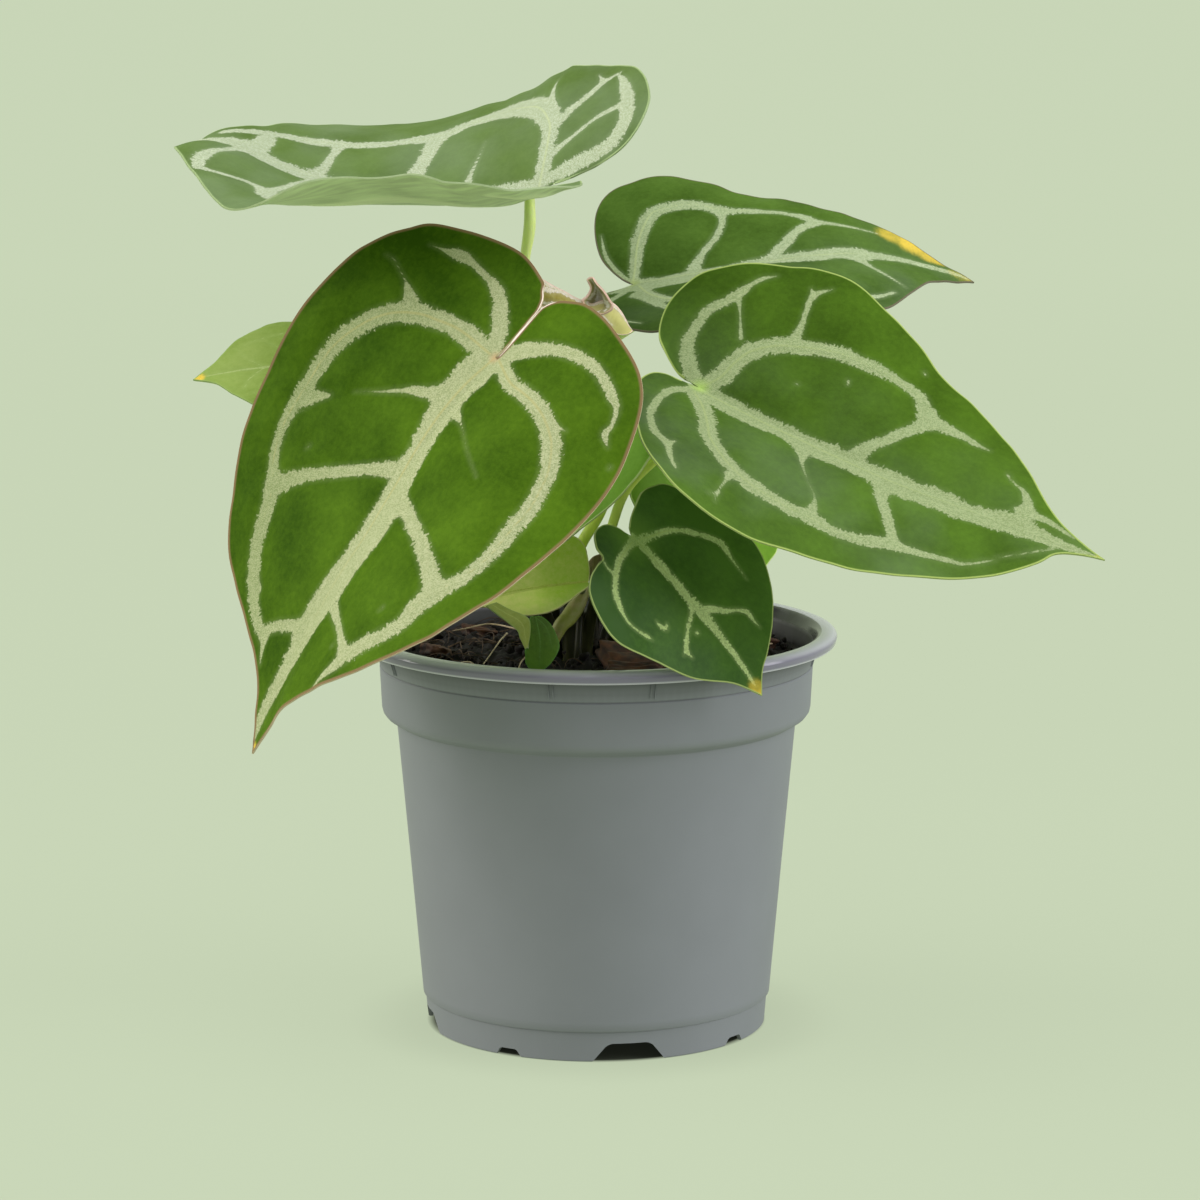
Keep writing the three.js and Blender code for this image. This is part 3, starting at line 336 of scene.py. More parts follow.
         (4.8, -17, 0.9), (7.3, -20, 0.9), (10, -21.2, 0.8), (14, -21.8, 0.4), (18, -20.7, 0.3),
         (21, -19, 0.45), (22.4, -18.3, 0.1)],
        [(24.6, 1, 1.4), (25.5, 3, 0.9), (28, 6, 0.6), (29.3, 8.2, 0.5), (31, 9.8, 0.6), (33, 9.8, 0.4),
         (35.5, 10, 0.1)],
        [(22, -1, 1.3), (23.4, -3.2, 0.7), (25, -6, 0.65), (27.3, -9, 0.6), (29.6, -11, 0.6),
         (32, -10.8, 0.25)],
        [(29.5, -11, 0.5), (30.2, -12.6, 0.2)],
        [(21.5, -11.6, 0.3), (22.2, -12.8, 0.7), (20.6, -14, 0.5), (19.4, -14.2, 0.2)],
        [(27.8, -4.9, 0.45), (27.8, -5.7, 0.4)],
        [(3.5, -16, 0.7), (1, -16.6, 0.4), (-0.6, -16, 0.3)],
    ],
    "leaf_far_left": [
        [(0, 0, 0.7), (12, 0, 0.5), (24, 0, 0.35), (39, 0, 0.1)],
        [(0, 0, 0.4), (5, 9, 0.3), (14, 14, 0.2), (26, 10, 0.1)],
        [(0, 0, 0.4), (5, -9, 0.3), (14, -13, 0.2), (26, -9, 0.1)],
        [(12, 0, 0.3), (17, 6, 0.2), (21, 11, 0.1)], [(12, 0, 0.3), (17, -6, 0.2), (21, -10, 0.1)],
        [(22, 0, 0.3), (26, 4, 0.2), (28, 8, 0.1)], [(22, 0, 0.3), (26, -4, 0.2), (28, -8, 0.1)],
    ],
    "leaf_inner_left": [
        [(0, 0, 0.8), (12, 0, 0.5), (24, 0, 0.3), (38, 0, 0.1)],
        [(0, 0, 0.5), (4, 7, 0.3), (13, 11, 0.2), (25, 8, 0.1)],
        [(0, 0, 0.5), (4, -7, 0.3), (13, -11, 0.2), (25, -8, 0.1)],
    ],
    "leaf_inner_right": [
        [(0, 0, 0.9), (12, 0, 0.6), (24, 0, 0.4), (41, 0, 0.1)],
        [(0, 0, 0.6), (4, 9, 0.4), (14, 13, 0.3), (27, 9, 0.1)],
        [(0, 0, 0.6), (4, -9, 0.4), (14, -13, 0.3), (27, -9, 0.1)],
    ],
    "leaf_pale_folded": [[(0, 0, 0.4), (12, -0.6, 0.3), (24, -0.8, 0.2), (37, 0, 0.1)]],
    "leaf_curled_low": [
        [(0, 0.5, 0.2), (6, 1.2, 0.2), (13, 0.6, 0.1)],
        [(0, 0.5, 0.15), (3, 3, 0.15), (8, 4, 0.1)],
    ],
    "leaf_young_bronze": [
        [(0, 4.25, 0.45), (6, 4.2, 0.55), (11, 4.1, 0.6), (17, 4.2, 0.4), (24, 4.4, 0.2)],
        [(1, 0.6, 0.3), (5, 1.4, 0.4), (9, 1.6, 0.3), (13, 1.1, 0.3), (18, 0.8, 0.1)],
        [(10, 4, 0.4), (12, 2.6, 0.4), (15, 1.6, 0.35), (19, 1.2, 0.15)],
        [(0, 2.6, 0.4), (2.5, 3.2, 0.5), (5, 4, 0.4)],
    ],
    "leaf_young_bronze_cup": [
        [(0, 2.5, 0.7), (3, 2.6, 0.6), (6, 2.6, 0.75), (9, 2.5, 0.5), (10.8, 2.4, 0.3)],
        [(2, 2.3, 0.4), (4.5, 1.2, 0.45), (8, 0.7, 0.3)], [(4, 2.8, 0.4), (6.5, 4, 0.4), (9.5, 4.1, 0.3)],
    ],
    "leaf_curled_low_wing": [[(0, 1.6, 0.2), (6, 1.8, 0.2), (12, 1.8, 0.1)]],
    "crown_sheath": [[(0, 1.5, 0.1), (5, 1.5, 0.1)]],
}
# yellowed spots: centre on the flat leaf, reach along and across, amount (over 1 is brown)
AGED = {
    "leaf_upper_right": [(74, 12.5, 5, 5, 0.5), (78, 9, 5, 4.2, 0.62), (84, 5.5, 6, 2.6, 0.55),
                         (91, 0, 6, 3, 0.32)],
    "leaf_small_front": [(47.6, 0, 3.4, 2.6, 0.5), (49.6, -0.2, 1.2, 1.2, 0.95)],
    "leaf_front_left": [(111, -0.5, 2.4, 1.6, 1.0)],
    "leaf_front_right": [(107.5, -1, 2, 1.2, 0.5)],
    "leaf_far_left": [(39, 0, 2, 1.5, 0.9)],
}

SOIL_LEVEL = 94.5           # mean height of the peat's top, in mm
STEM_FOOT = 83              # height at which the stems stand
# stem: radius, where it stands in the peat (x, y), the points it passes, and which way
# it leaves the blade where that is not square to it
STEMS = {
    "front_left": (1.3, (-10, -4), [(-14, -8, 110), (-20, -19, 140)], None),
    "front_right": (1.4, (-2.5, -5.5), [(0, -9, 110), (4, -13, 128), (8, -16, 138)], None),
    "top": (1.4, (-10.5, 6), [(-12, 8, 120), (-19.5, 5, 160), (-17.8, 2.5, 190)], (0, 0, -1)),
    "upper_right": (1.2, (-3, 10), [(-8, 10, 116), (-10, 12, 138), (-4, 18, 162)], None),
    "small_front": (1.0, (4, 0), [(6, -14, 107)], None),
    "far_left": (1.0, (-14.5, 4), [(-19, 7, 118), (-34, 12, 148)], None),
    "inner_left": (1.6, (-6.5, -5), [(-6.5, -5, 112), (-4, -4, 121), (1, -5, 130), (6, -5, 144)], None),
    "inner_right": (1.0, (2, 9), [(10, 14, 112)], None),
    "pale_folded": (1.0, (-4.5, -9.5), [], None),
    "curled_low": (0.9, (-15, -14), [], (0.1, 0.6, -0.8)),
    "young_bronze": (1.0, (-13.5, -1), [(-13, -2, 112), (-12, -6, 138), (-5, -16, 164)], None),
}
# stems given the paler skin: painted light for stems that lie in the shade of the blades
PAINTED_LIGHT_STEMS = ("front_right", "inner_left", "small_front")


# ------------------------------------------------------------------ colours
def linear(code):
    """An sRGB hex code as the linear RGBA that a shader takes."""
    channels = [int(code[i:i + 2], 16) / 255 for i in (1, 3, 5)]
    return tuple(c / 12.92 if c <= 0.04045 else ((c + 0.055) / 1.055) ** 2.4 for c in channels) + (1.0,)


# blade dark and light, vein, fine centre line, margin, underside
LOOKS = {
    "leaf_front_left": ("#2e4a09", "#4e6e16", "#b3b98f", "#b2ab6e", "#7f6a4a", "#8fa66a"),
    "leaf_front_right": ("#354f11", "#4d6e1c", "#a0ae80", "#a1b073", "#9cb060", "#8fa66a"),
    "leaf_top": ("#4a6227", "#5c7637", "#b8c3a5", "#bbc694", "#93a874", "#d4e8b0"),
    "leaf_upper_right": ("#365017", "#506e29", "#b1bf97", "#beca8e", "#6a6450", "#8fa66a"),
    "leaf_small_front": ("#31501b", "#4b6f26", "#bfd38e", "#b3c471", "#9fb069", "#6f8a4c"),
    "leaf_far_left": ("#79953c", "#95a95b", "#adbf7c", "#a3b675", "#8fa85c", "#a3ba7c"),
    "leaf_inner_left": ("#7aaa38", "#93c34b", "#8fb559", "#a3bf68", "#d2e49a", "#a3ba7c"),
    "leaf_inner_right": ("#5d891a", "#7aa527", "#7ca248", "#8aab50", "#b9d078", "#8fa66a"),
    "leaf_pale_folded": ("#c3e350", "#f4f69b", "#c8d860", "#c8d860", "#e0e29a", "#b4c268"),
    "leaf_curled_low": ("#475e23", "#618a2e", "#5c8840", "#6f9448", "#5c8a3a", "#b3c67a"),
    "leaf_young_bronze": ("#8f8432", "#c0bd74", "#dcd3c4", "#cfc8a8", "#dfc6b4", "#a8ac62"),
    "leaf_young_bronze_cup": ("#9c9860", "#b9b47c", "#f0efe6", "#e2dfcc", "#dcbca6", "#9aa06a"),
    "leaf_curled_low_wing": ("#9ea951", "#c8d07e", "#bdc672", "#c3cc77", "#a9ba70", "#a3b868"),
    "crown_sheath": ("#5f5a34", "#8a7a52", "#9a8f68", "#9a8f68", "#a89878", "#7a7048"),
}

# Painted light and shade on a blade's green, as added lightness at the tip and at its left margin, and the
# painted grey sheen on it: share at the petiole point, added at the tip and at its left margin.
PAINTED_SHADE_AND_SHEEN = {
    "leaf_front_left": (0.05, 0.24, 0.0, 0.0, 0.0),
    "leaf_front_right": (0.5, 0.0, 0.03, 0.0, -0.05),
    "leaf_top": (0.2, 0.0, 0.08, 0.0, 0.0),
    "leaf_upper_right": (0.3, 0.2, -0.01, 0.07, -0.07),
    "leaf_small_front": (-0.05, 0.6, 0.02, 0.0, -0.02),
    "leaf_pale_folded": (1.5, 0.35, 0.14, -0.22, 0.08),
    "leaf_curled_low": (0.9, 0.2, 0.02, -0.02, 0.0),
    "leaf_young_bronze": (1.1, 0.0, 0.0, 0.0, 0.0),
}
# the colour of the painted grey sheen on the blades
PAINTED_SHEEN = "#a9b8a6"
YELLOWED, BROWNED = "#dcc04a", "#a8623c"            # ageing tissue
# the colour, reach in mm and strength of the soft spot over the petiole
SPOT = {
    "leaf_front_left": ("#c9a47c", 2.4, 0.6),
    "leaf_front_right": ("#a9cb62", 3.4, 0.7),
    "leaf_upper_right": ("#a7b768", 2.6, 0.6),
    "leaf_small_front": ("#6f943a", 11, 0.5),
}
# how the silver of the veins fades into the green: share at the petiole point, added at the tip
# and at the left margin
FADE = {
    "leaf_front_left": (-0.05, 0.12, -0.4),
    "leaf_upper_right": (0.0, 0.05, 0.2),
    "leaf_small_front": (0.0, 0.05, -0.15),
}
# a margin's width in mm and the colour of its bare edge, where it stands out
MARGINS = {"leaf_front_left": (1.0, "#cdbb98")}

# the colour of the painted highlight on a sinus's lips
PAINTED_SINUS_HIGHLIGHT = {"leaf_front_left": "#ecdccf"}


# ------------------------------------------------------------------ user sizes and colours
def millimetres(name, description, value, low=0.0):
    """A length property, held in metres."""
    return bpy.props.FloatProperty(name=name, description=description, default=value * MM, min=low * MM,
                                   subtype="DISTANCE", unit="LENGTH", precision=4)


def colour(name, description, code):
    """A colour property from an sRGB hex code."""
    return bpy.props.FloatVectorProperty(name=name, description=description, default=linear(code),
                                         size=4, min=0.0, max=1.0, subtype="COLOR")


class AroidPot(bpy.types.PropertyGroup):
    """The nursery pot and what fills it."""
    rim_radius: millimetres("Rim radius", "Outside radius of the rolled rim",
                            (POT_HIGH[0] - POT_LOW[0]) / 2 / MM)
    height: millimetres("Height", "Foot to the top of the rim", (POT_HIGH[2] - POT_LOW[2]) / MM)
    plastic: colour("Plastic", "Pot colour", "#7b7f83")
    peat: colour("Peat", "Colour of the moist peat", "#17110c")
    fibres: bpy.props.IntProperty(name="Fibres", description="Root fibres on the peat", default=170,
                                  min=0, max=400)
    crumbs: bpy.props.IntProperty(name="Crumbs", description="Loose crumbs on the peat", default=520,
                                  min=0, max=1500)


class AroidLeaf(bpy.types.PropertyGroup):
    """Blades and stems."""
    blade: millimetres("Blade", "Thickness of a leaf blade", 0.45)
    puff: millimetres("Puff", "How far the blade swells between its veins", 0.7)
    wave: millimetres("Wave", "How far the margin waves up and down", 0.5)
    stem: colour("Stem", "Colour of the stems", "#e2ee8c")


class AroidStage(bpy.types.PropertyGroup):
    """Floor, light and camera."""
    floor: colour("Floor", "Colour of the floor and backdrop", "#c8d5b7")
    distance: millimetres("Distance", "Camera to the point it looks at", 1157)
    elevation: bpy.props.FloatProperty(name="Elevation", description="Camera's height above the level",
                                       default=9.9 * RAD, subtype="ANGLE", unit="ROTATION")
    focal: bpy.props.FloatProperty(name="Focal length", description="In image pixels", default=4647.0)


# ------------------------------------------------------------------ small tools
WELD = 0.000002             # metres between vertices that are really one
TURN = 2 * math.pi


def clear_selection():
    """Leaves object mode with nothing selected."""
    if bpy.context.object and bpy.context.object.mode != "OBJECT":
        bpy.ops.object.mode_set(mode="OBJECT")
    bpy.ops.object.select_all(action="DESELECT")


def pick(piece):
    """Makes a piece the only selected and the active one."""
    clear_selection()
    piece.select_set(True)
    bpy.context.view_layer.objects.active = piece


def primitive(operator, **settings):
    """Adds a primitive with nothing else selected, and returns it."""
    clear_selection()
    operator(**settings)
    return bpy.context.object


def apply_all(piece):
    """Applies every modifier of a piece, then its place, turn and size."""
    pick(piece)
    for modifier in list(piece.modifiers):
        bpy.ops.object.modifier_apply(modifier=modifier.name)
    bpy.ops.object.transform_apply(location=True, rotation=True, scale=True)


def to_frame(points):
    """Millimetres about the pot's axis to metres in the row frame."""
    return np.asarray(points, dtype=float) * MM + np.array(AXIS)


def set_points(piece, points):
    """Moves a mesh's vertices to the given rows of metres."""
    piece.data.vertices.foreach_set("co", np.ascontiguousarray(points, dtype=np.float32).ravel())
    piece.data.update()


def get_points(piece):
    """A mesh's vertices as rows of metres."""
    flat = np.empty(3 * len(piece.data.vertices), dtype=np.float32)
    piece.data.vertices.foreach_get("co", flat)
    return flat.reshape(-1, 3).astype(float)


def grid(name, columns, rows):
    """A named flat grid, with the column and the row of each of its vertices."""
    piece = primitive(bpy.ops.mesh.primitive_grid_add, x_subdivisions=columns, y_subdivisions=rows, size=2)
    piece.name = piece.data.name = name
    corner = get_points(piece)
    column = np.rint((corner[:, 0] + 1) / 2 * columns).astype(int)
    row = np.rint((corner[:, 1] + 1) / 2 * rows).astype(int)
    return piece, column, row


def weld(piece, closed=False):
    """Merges a mesh's doubled vertices, and turns a closed one's faces outwards."""
    pick(piece)
    bpy.ops.object.mode_set(mode="EDIT")
    bpy.ops.mesh.select_all(action="SELECT")
    bpy.ops.mesh.remove_doubles(threshold=WELD)
    if closed:
        bpy.ops.mesh.normals_make_consistent(inside=False)
    bpy.ops.object.mode_set(mode="OBJECT")


def join(parts, name):
    """Joins objects into one named piece."""
    clear_selection()
    for part in parts:
        part.select_set(True)
    bpy.context.view_layer.objects.active = parts[0]
    bpy.ops.object.join()
    piece = bpy.context.object
    piece.name = piece.data.name = name
    return piece


def smooth_by_angle(piece, degrees):
    """Smooth shading that keeps edges sharper than the angle."""
    pick(piece)
    bpy.ops.object.shade_smooth_by_angle(angle=degrees * RAD)


def tubes(name, courses, girth, resolution, caps=False):
    """Models round bevelled curves as one piece; a course is rows of (x, y, z, share of the
    girth), in mm about the pot's axis."""
    piece = primitive(bpy.ops.curve.primitive_nurbs_path_add)
    curve = piece.data
    curve.splines.clear()
    for course in courses:
        spline = curve.splines.new("POLY")
        spline.points.add(len(course) - 1)
        for point, row in zip(spline.points, course):
            point.co = (*to_frame(row[:3]), 1.0)
            point.radius = row[3]
    curve.dimensions = "3D"
    curve.bevel_depth = girth * MM
    curve.bevel_resolution = resolution
    curve.use_fill_caps = caps
    pick(piece)
    bpy.ops.object.convert(target="MESH")
    piece = bpy.context.object
    piece.name = piece.data.name = name
    apply_all(piece)
    smooth_by_angle(piece, 60)
    return piece


def claim(piece, nodes, slot_name, *coats):
    """Gives a finished piece its coats and sets it into the frame."""
    for coat in coats:
        piece.data.materials.append(coat)
    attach(piece, "root")
    if nodes:
        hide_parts(*nodes)


def ease(t):
    """Smooth step from 0 to 1."""
    t = np.clip(t, 0.0, 1.0)
    return t * t * (3 - 2 * t)


def mix(a, b, t):
    """Straight blend of two values."""
    return a + (b - a) * t


def fractal(x, y, size, seed, octaves=2):
    """Seeded flat noise in about -1..1 with features of the given size."""
    shift = Vector((seed * 7.31, seed * 3.17, seed * 5.71))
    return np.array([noise.fractal(Vector((a, b, 0.0)) / size + shift, 0.9, 2.0, octaves,
                                   noise_basis="PERLIN_ORIGINAL") for a, b in zip(x, y)])


def smooth_curve(points, pieces=12, centripetal=False):
    """Catmull-Rom curve through flat or solid points, plain or centripetal."""
    p = np.asarray(points, dtype=float)
    p = np.vstack([2 * p[0] - p[1], p, 2 * p[-1] - p[-2]])
    t = np.linspace(0, 1, pieces, endpoint=False)[:, None]
    rows = []
    for i in range(len(p) - 3):
        a, b, c, d = p[i:i + 4]
        k0, k1, k2 = 1.0, 1.0, 1.0
        if centripetal:
            k0, k1, k2 = (max(np.linalg.norm(q) ** 0.5, 1e-4) for q in (b - a, c - b, d - c))
        m1 = ((b - a) / k0 - (c - a) / (k0 + k1) + (c - b) / k1) * k1
        m2 = ((c - b) / k1 - (d - b) / (k1 + k2) + (d - c) / k2) * k1
        rows.append(b + m1 * t + (3 * (c - b) - 2 * m1 - m2) * t ** 2 + (2 * (b - c) + m1 + m2) * t ** 3)
    return np.vstack(rows + [p[-2:-1]])


def spaced(curve, count):
    """The curve again, as count + 1 points equally far apart."""
    run = np.concatenate([[0], np.cumsum(np.linalg.norm(np.diff(curve, axis=0), axis=1))])
    at = np.linspace(0, run[-1], count + 1)
    return np.stack([np.interp(at, run, curve[:, k]) for k in range(curve.shape[1])], axis=1)


# ------------------------------------------------------------------ node tools
COLOUR = {"data_type": "RGBA"}                      # a Mix of colours
SMOOTH = {"interpolation_type": "SMOOTHSTEP"}       # a Map Range that eases in and out
FIELD = {"attribute_type": "GEOMETRY"}              # an Attribute stored on the mesh


def add(tree, kind, *inputs, named=None, **settings):
    """Adds a shader node with its settings and fills its live inputs, in order or as named.  An
    input takes a value, a socket, or a node, which stands for its first live output."""
    made = tree.nodes.new("ShaderNode" + kind)
    for key, value in settings.items():
        setattr(made, key, value)
    live = [socket for socket in made.inputs if socket.enabled]
    fill = list(zip(live, inputs)) + [(made.inputs[key], value) for key, value in (named or {}).items()]
    for socket, value in fill:
        if isinstance(value, bpy.types.Node):
            value = next(output for output in value.outputs if output.enabled)
        if isinstance(value, bpy.types.NodeSocket):
            tree.links.new(value, socket)
        else:
            socket.default_value = value
    return made


def new_material(name):
    """An empty node material and its tree."""
    material = bpy.data.materials.new(name)
    material.use_nodes = True
    material.node_tree.nodes.clear()
    return material, material.node_tree


def shaded(tone, *shares):
    """A linear colour times one share, or times a share for each channel."""
    shares = shares * 3 if len(shares) == 1 else shares
    return tuple(min(1.0, c * share) for c, share in zip(tone, shares)) + (1.0,)


# ------------------------------------------------------------------ leaf form
def leaf_form(leaf):
    """Returns a function that carries flat leaf points to places in space, in mm."""
    h, p, r = leaf["heading"] * RAD, leaf["pitch"] * RAD, leaf["roll"] * RAD
    along = np.array([math.cos(p) * math.cos(h), math.cos(p) * math.sin(h), math.sin(p)])
    level = np.array([-math.sin(p) * math.cos(h), -math.sin(p) * math.sin(h), math.cos(p)])
    up = level * math.cos(r) + np.cross(level, along) * math.sin(r)
    left = np.cross(up, along)
    length = leaf["length"]

    # the midrib, stepped out both ways from the petiole point
    reach = np.linspace(-0.45 * length, 1.03 * length, 241)
    s = reach / length
    t = np.clip(s, 0, 1)
    bend = (leaf["droop"] * t + leaf["tip_droop"] * np.maximum((t - 0.68) / 0.32, 0) ** 2
            - np.where(s < 0, leaf["lobe_lift"] * s / 0.25, 0)) * RAD
    yaw = leaf["sweep"] * t * RAD
    tangent = (np.outer(np.cos(bend) * np.cos(yaw), along) + np.outer(np.cos(bend) * np.sin(yaw), left)
               - np.outer(np.sin(bend), up))
    rise = np.outer(np.sin(bend), along) + np.outer(np.cos(bend), up)
    side = np.cross(rise, tangent)
    side /= np.linalg.norm(side, axis=1)[:, None]
    turn = (leaf["twist"] * t * RAD)[:, None]
    out = side * np.cos(turn) + np.cross(tangent, side) * np.sin(turn)
    face = np.cross(tangent, out)
    step = reach[1] - reach[0]
    place = np.vstack([np.zeros(3), np.cumsum((tangent[1:] + tangent[:-1]) * step / 2, axis=0)])
    place -= np.array([np.interp(0, reach, place[:, k]) for k in range(3)])

    def form(x, y):
        w = ease(x / length)
        on_left = y >= 0

        def half_angle(key):
            left_base, left_tip, right_base, right_tip = leaf[key]
            return np.where(on_left, mix(left_base, left_tip, w), mix(right_base, right_tip, w)) * RAD

        def along_rib(rows):
            return np.stack([np.interp(x, reach, rows[:, k]) for k in range(3)], axis=1)
        fold, curl = half_angle("fold"), half_angle("curl") / leaf["span"]
        curl = np.where(np.abs(curl) < 1e-6, 1e-6, curl)
        d = np.abs(y)
        lateral = (np.sin(fold + curl * d) - np.sin(fold)) / curl * np.where(on_left, 1, -1)
        lift = (np.cos(fold) - np.cos(fold + curl * d)) / curl
        o, f = along_rib(out), along_rib(face)
        o /= np.linalg.norm(o, axis=1)[:, None]
        f /= np.linalg.norm(f, axis=1)[:, None]
        return along_rib(place) + o * lateral[:, None] + f * lift[:, None] + np.array(leaf["attach"], float)
    return form


def form_normals(form, x, y):
    """Unit normals of a leaf form at flat points, from steps of 0.4 mm either way."""
    e = 0.4
    n = np.cross(form(x + e, y) - form(x - e, y), form(x, y + e) - form(x, y - e))
    return n / np.linalg.norm(n, axis=1)[:, None]


def nearest(points, starts, ends):
    """Distance from flat points to the nearest of some strokes, with its place and number."""
    best = np.full(len(points), 1e9)
    part = np.zeros(len(points))
    which = np.zeros(len(points), dtype=int)
    run = ends - starts
    size = np.maximum((run ** 2).sum(axis=1), 1e-9)
    for at in range(0, len(points), 4000):
        rows = points[at:at + 4000]
        gap = rows[:, None, :] - starts[None]
        t = np.clip((gap * run[None]).sum(axis=2) / size, 0, 1)
        d = np.linalg.norm(gap - t[..., None] * run[None], axis=2)
        k = d.argmin(axis=1)
        i = np.arange(len(rows))
        best[at:at + 4000], part[at:at + 4000], which[at:at + 4000] = d[i, k], t[i, k], k
    return best, part, which


def vein_fields(name, points, size):
    """For flat points: depth inside a vein, distance to a main vein's middle, run along the
    nearest vein and that vein's half width."""
    soft = 0.35 * size
    total = np.zeros(len(points))
    best = np.full(len(points), -99.0)
    middle = np.full(len(points), 99.0)
    run = np.zeros(len(points))
    girth = np.full(len(points), 1.0)
    for number, course in enumerate(VEINS[name]):
        curve = smooth_curve(course, 5)
        low, high = curve[:, :2].min(axis=0) - 9, curve[:, :2].max(axis=0) + 9
        close = np.flatnonzero(((points > low) & (points < high)).all(axis=1))
        if not len(close):
            continue
        d, t, k = nearest(points[close], curve[:-1, :2], curve[1:, :2])
        half_width = mix(curve[k, 2], curve[k + 1, 2], t)
        inside = half_width - d
        total[close] += np.exp(np.clip(inside / soft, -60, 60))
        steps = np.linalg.norm(np.diff(curve[:, :2], axis=0), axis=1)
        gone = np.concatenate([[0], np.cumsum(steps)])
        wins = inside > best[close]
        best[close[wins]] = inside[wins]
        girth[close[wins]] = half_width[wins]
        run[close[wins]] = (gone[k] + t * steps[k])[wins] + 150 * number
        if number < MAIN_VEINS:
            middle[close] = np.minimum(middle[close], d + 0.5 * (gone[k] / gone[-1]) ** 2)
    depth = np.maximum(soft * np.log(np.maximum(total, 1e-30)), -8.0)
    return depth, middle, run, girth


FIELDS = ("vein", "middle", "run", "girth", "margin", "aged")


def finish_blade(piece, name, flat, to_edge, fields, thickness):
    """Stores a bent blade's numbers and flat map, thickens it and gives it its coats."""
    x, y = flat[:, 0], flat[:, 1]
    aged = np.zeros(len(x))
    for cx, cy, rx, ry, amount in AGED.get(name, []):
        near = np.clip(1.5 - np.hypot((x - cx) / rx, (y - cy) / ry), 0, 1)
        aged = np.maximum(aged, amount * ease(near))
    for key, values in zip(FIELDS, (*fields, to_edge, aged)):
        layer = piece.data.attributes.new(key, "FLOAT", "POINT")
        layer.data.foreach_set("value", np.ascontiguousarray(values, dtype=np.float32))
    layer = piece.data.uv_layers[0]
    layer.name = "flat_leaf"
    corners = np.empty(len(piece.data.loops), dtype=np.int32)
    piece.data.loops.foreach_get("vertex_index", corners)
    spread = np.ascontiguousarray(flat[corners] / FLAT_UNIT, dtype=np.float32)
    layer.data.foreach_set("uv", spread.ravel())

    weld(piece)
    for coat in (blade_material(name), underside_material(name), margin_material(name)):
        piece.data.materials.append(coat)
    shell = piece.modifiers.new("blade", "SOLIDIFY")
    shell.thickness = thickness
    shell.offset = 0
    shell.material_offset = 1
    shell.material_offset_rim = 2
    apply_all(piece)
    smooth_by_angle(piece, 50)
    return piece


def build_leaf(name, settings):
    """Models one blade: a grid bent to the leaf's form, swollen between its veins."""
    leaf = LEAVES[name]
    rays, rings = leaf["rays"], leaf["rings"]
    piece, ring, ray = grid(name + "_blade", rings, rays)

    # walk the edge anticlockwise: up the right margin and back down the left one
    half = rays // 2
    right = spaced(smooth_curve(leaf["right"]), half)
    left = spaced(smooth_curve(leaf["left"]), rays - half)[::-1]
    edge = np.vstack([right, left[1:]])
    reach = (np.arange(rings + 1) / rings) ** 0.88
    seed = sum(ord(c) for c in name) % 97
    flat = edge[ray] * reach[ring][:, None]
    x, y = flat[:, 0], flat[:, 1]

    size = leaf["length"] / FULL_GROWN
    fields = vein_fields(name, flat, size)
    depth, middle = fields[:2]
    to_edge, _, _ = nearest(flat, edge[:-1], edge[1:])
    form = leaf_form(leaf)
    places, normals = form(x, y), form_normals(form, x, y)

    away = np.clip(-depth, 0, None)
    puff = (1 - np.exp(-away / (4.0 * size))) * (0.4 + 0.6 * ease(to_edge / (6 * size)))
    ribs = np.exp(-(middle / (0.7 * size + 0.3)) ** 2)
    ripple = fractal(x, y, 24 * size, seed)
    margin_wave = fractal(edge[:, 0], edge[:, 1], 15 * size, seed + 5)[ray]
    lift = (settings.puff / MM * size * (puff - 0.5) + 0.15 * size * ribs
            + 0.5 * size * ripple * ease(reach[ring] * 2)
            + settings.wave / MM * size * 1.6 * margin_wave * ease((reach[ring] - 0.55) / 0.45))
    set_points(piece, to_frame(places + normals * lift[:, None]))
    return finish_blade(piece, name, flat, to_edge, fields, settings.blade)


def build_furl(name, settings):
    """Models a furled blade: a grid skinned over its rails."""
    furl = FURLS[name]
    columns, rows = 64, 26
    piece, column, row = grid(name + "_furl", columns, rows)
    rails = np.stack([spaced(smooth_curve(rail), columns) for rail in furl["rails"]], axis=1)
    sheet = np.stack([spaced(smooth_curve(station), rows) for station in rails])
    set_points(piece, to_frame(sheet[column, row]))
    length, width = furl["length"], furl["width"]
    flat = np.column_stack([column / columns * length, row / rows * width])
    to_edge = np.minimum(np.minimum(flat[:, 0], length - flat[:, 0]),
                         np.minimum(flat[:, 1], width - flat[:, 1]))
    fields = vein_fields(name, flat, length / FULL_GROWN)
    return finish_blade(piece, name, flat, to_edge, fields, settings.blade)


# ------------------------------------------------------------------ leaf materials
GROWN = ("leaf_front_left", "leaf_front_right", "leaf_top", "leaf_upper_right", "leaf_small_front")

# pattern scales on the flat map, in features to the unit
GRAINS = 120.0              # grains of a vein's edge, 0.8 mm across
STEPS = 33.0                # steps of a vein's edge, 3 mm long
DRIFTS = 5.5                # slow drift of the green, over 18 mm
MOTTLE = 60.0               # mottle of the green, from 1.7 mm down to 0.1 mm
CLOUDS = 3.2                # clouds of the painted sheen, 31 mm across
CRYSTALS = 400.0            # the veins' crystals, 0.25 mm across
STREAKS = 9.0               # streaks of the underside, 11 mm long
LEAF_IOR = 1.4


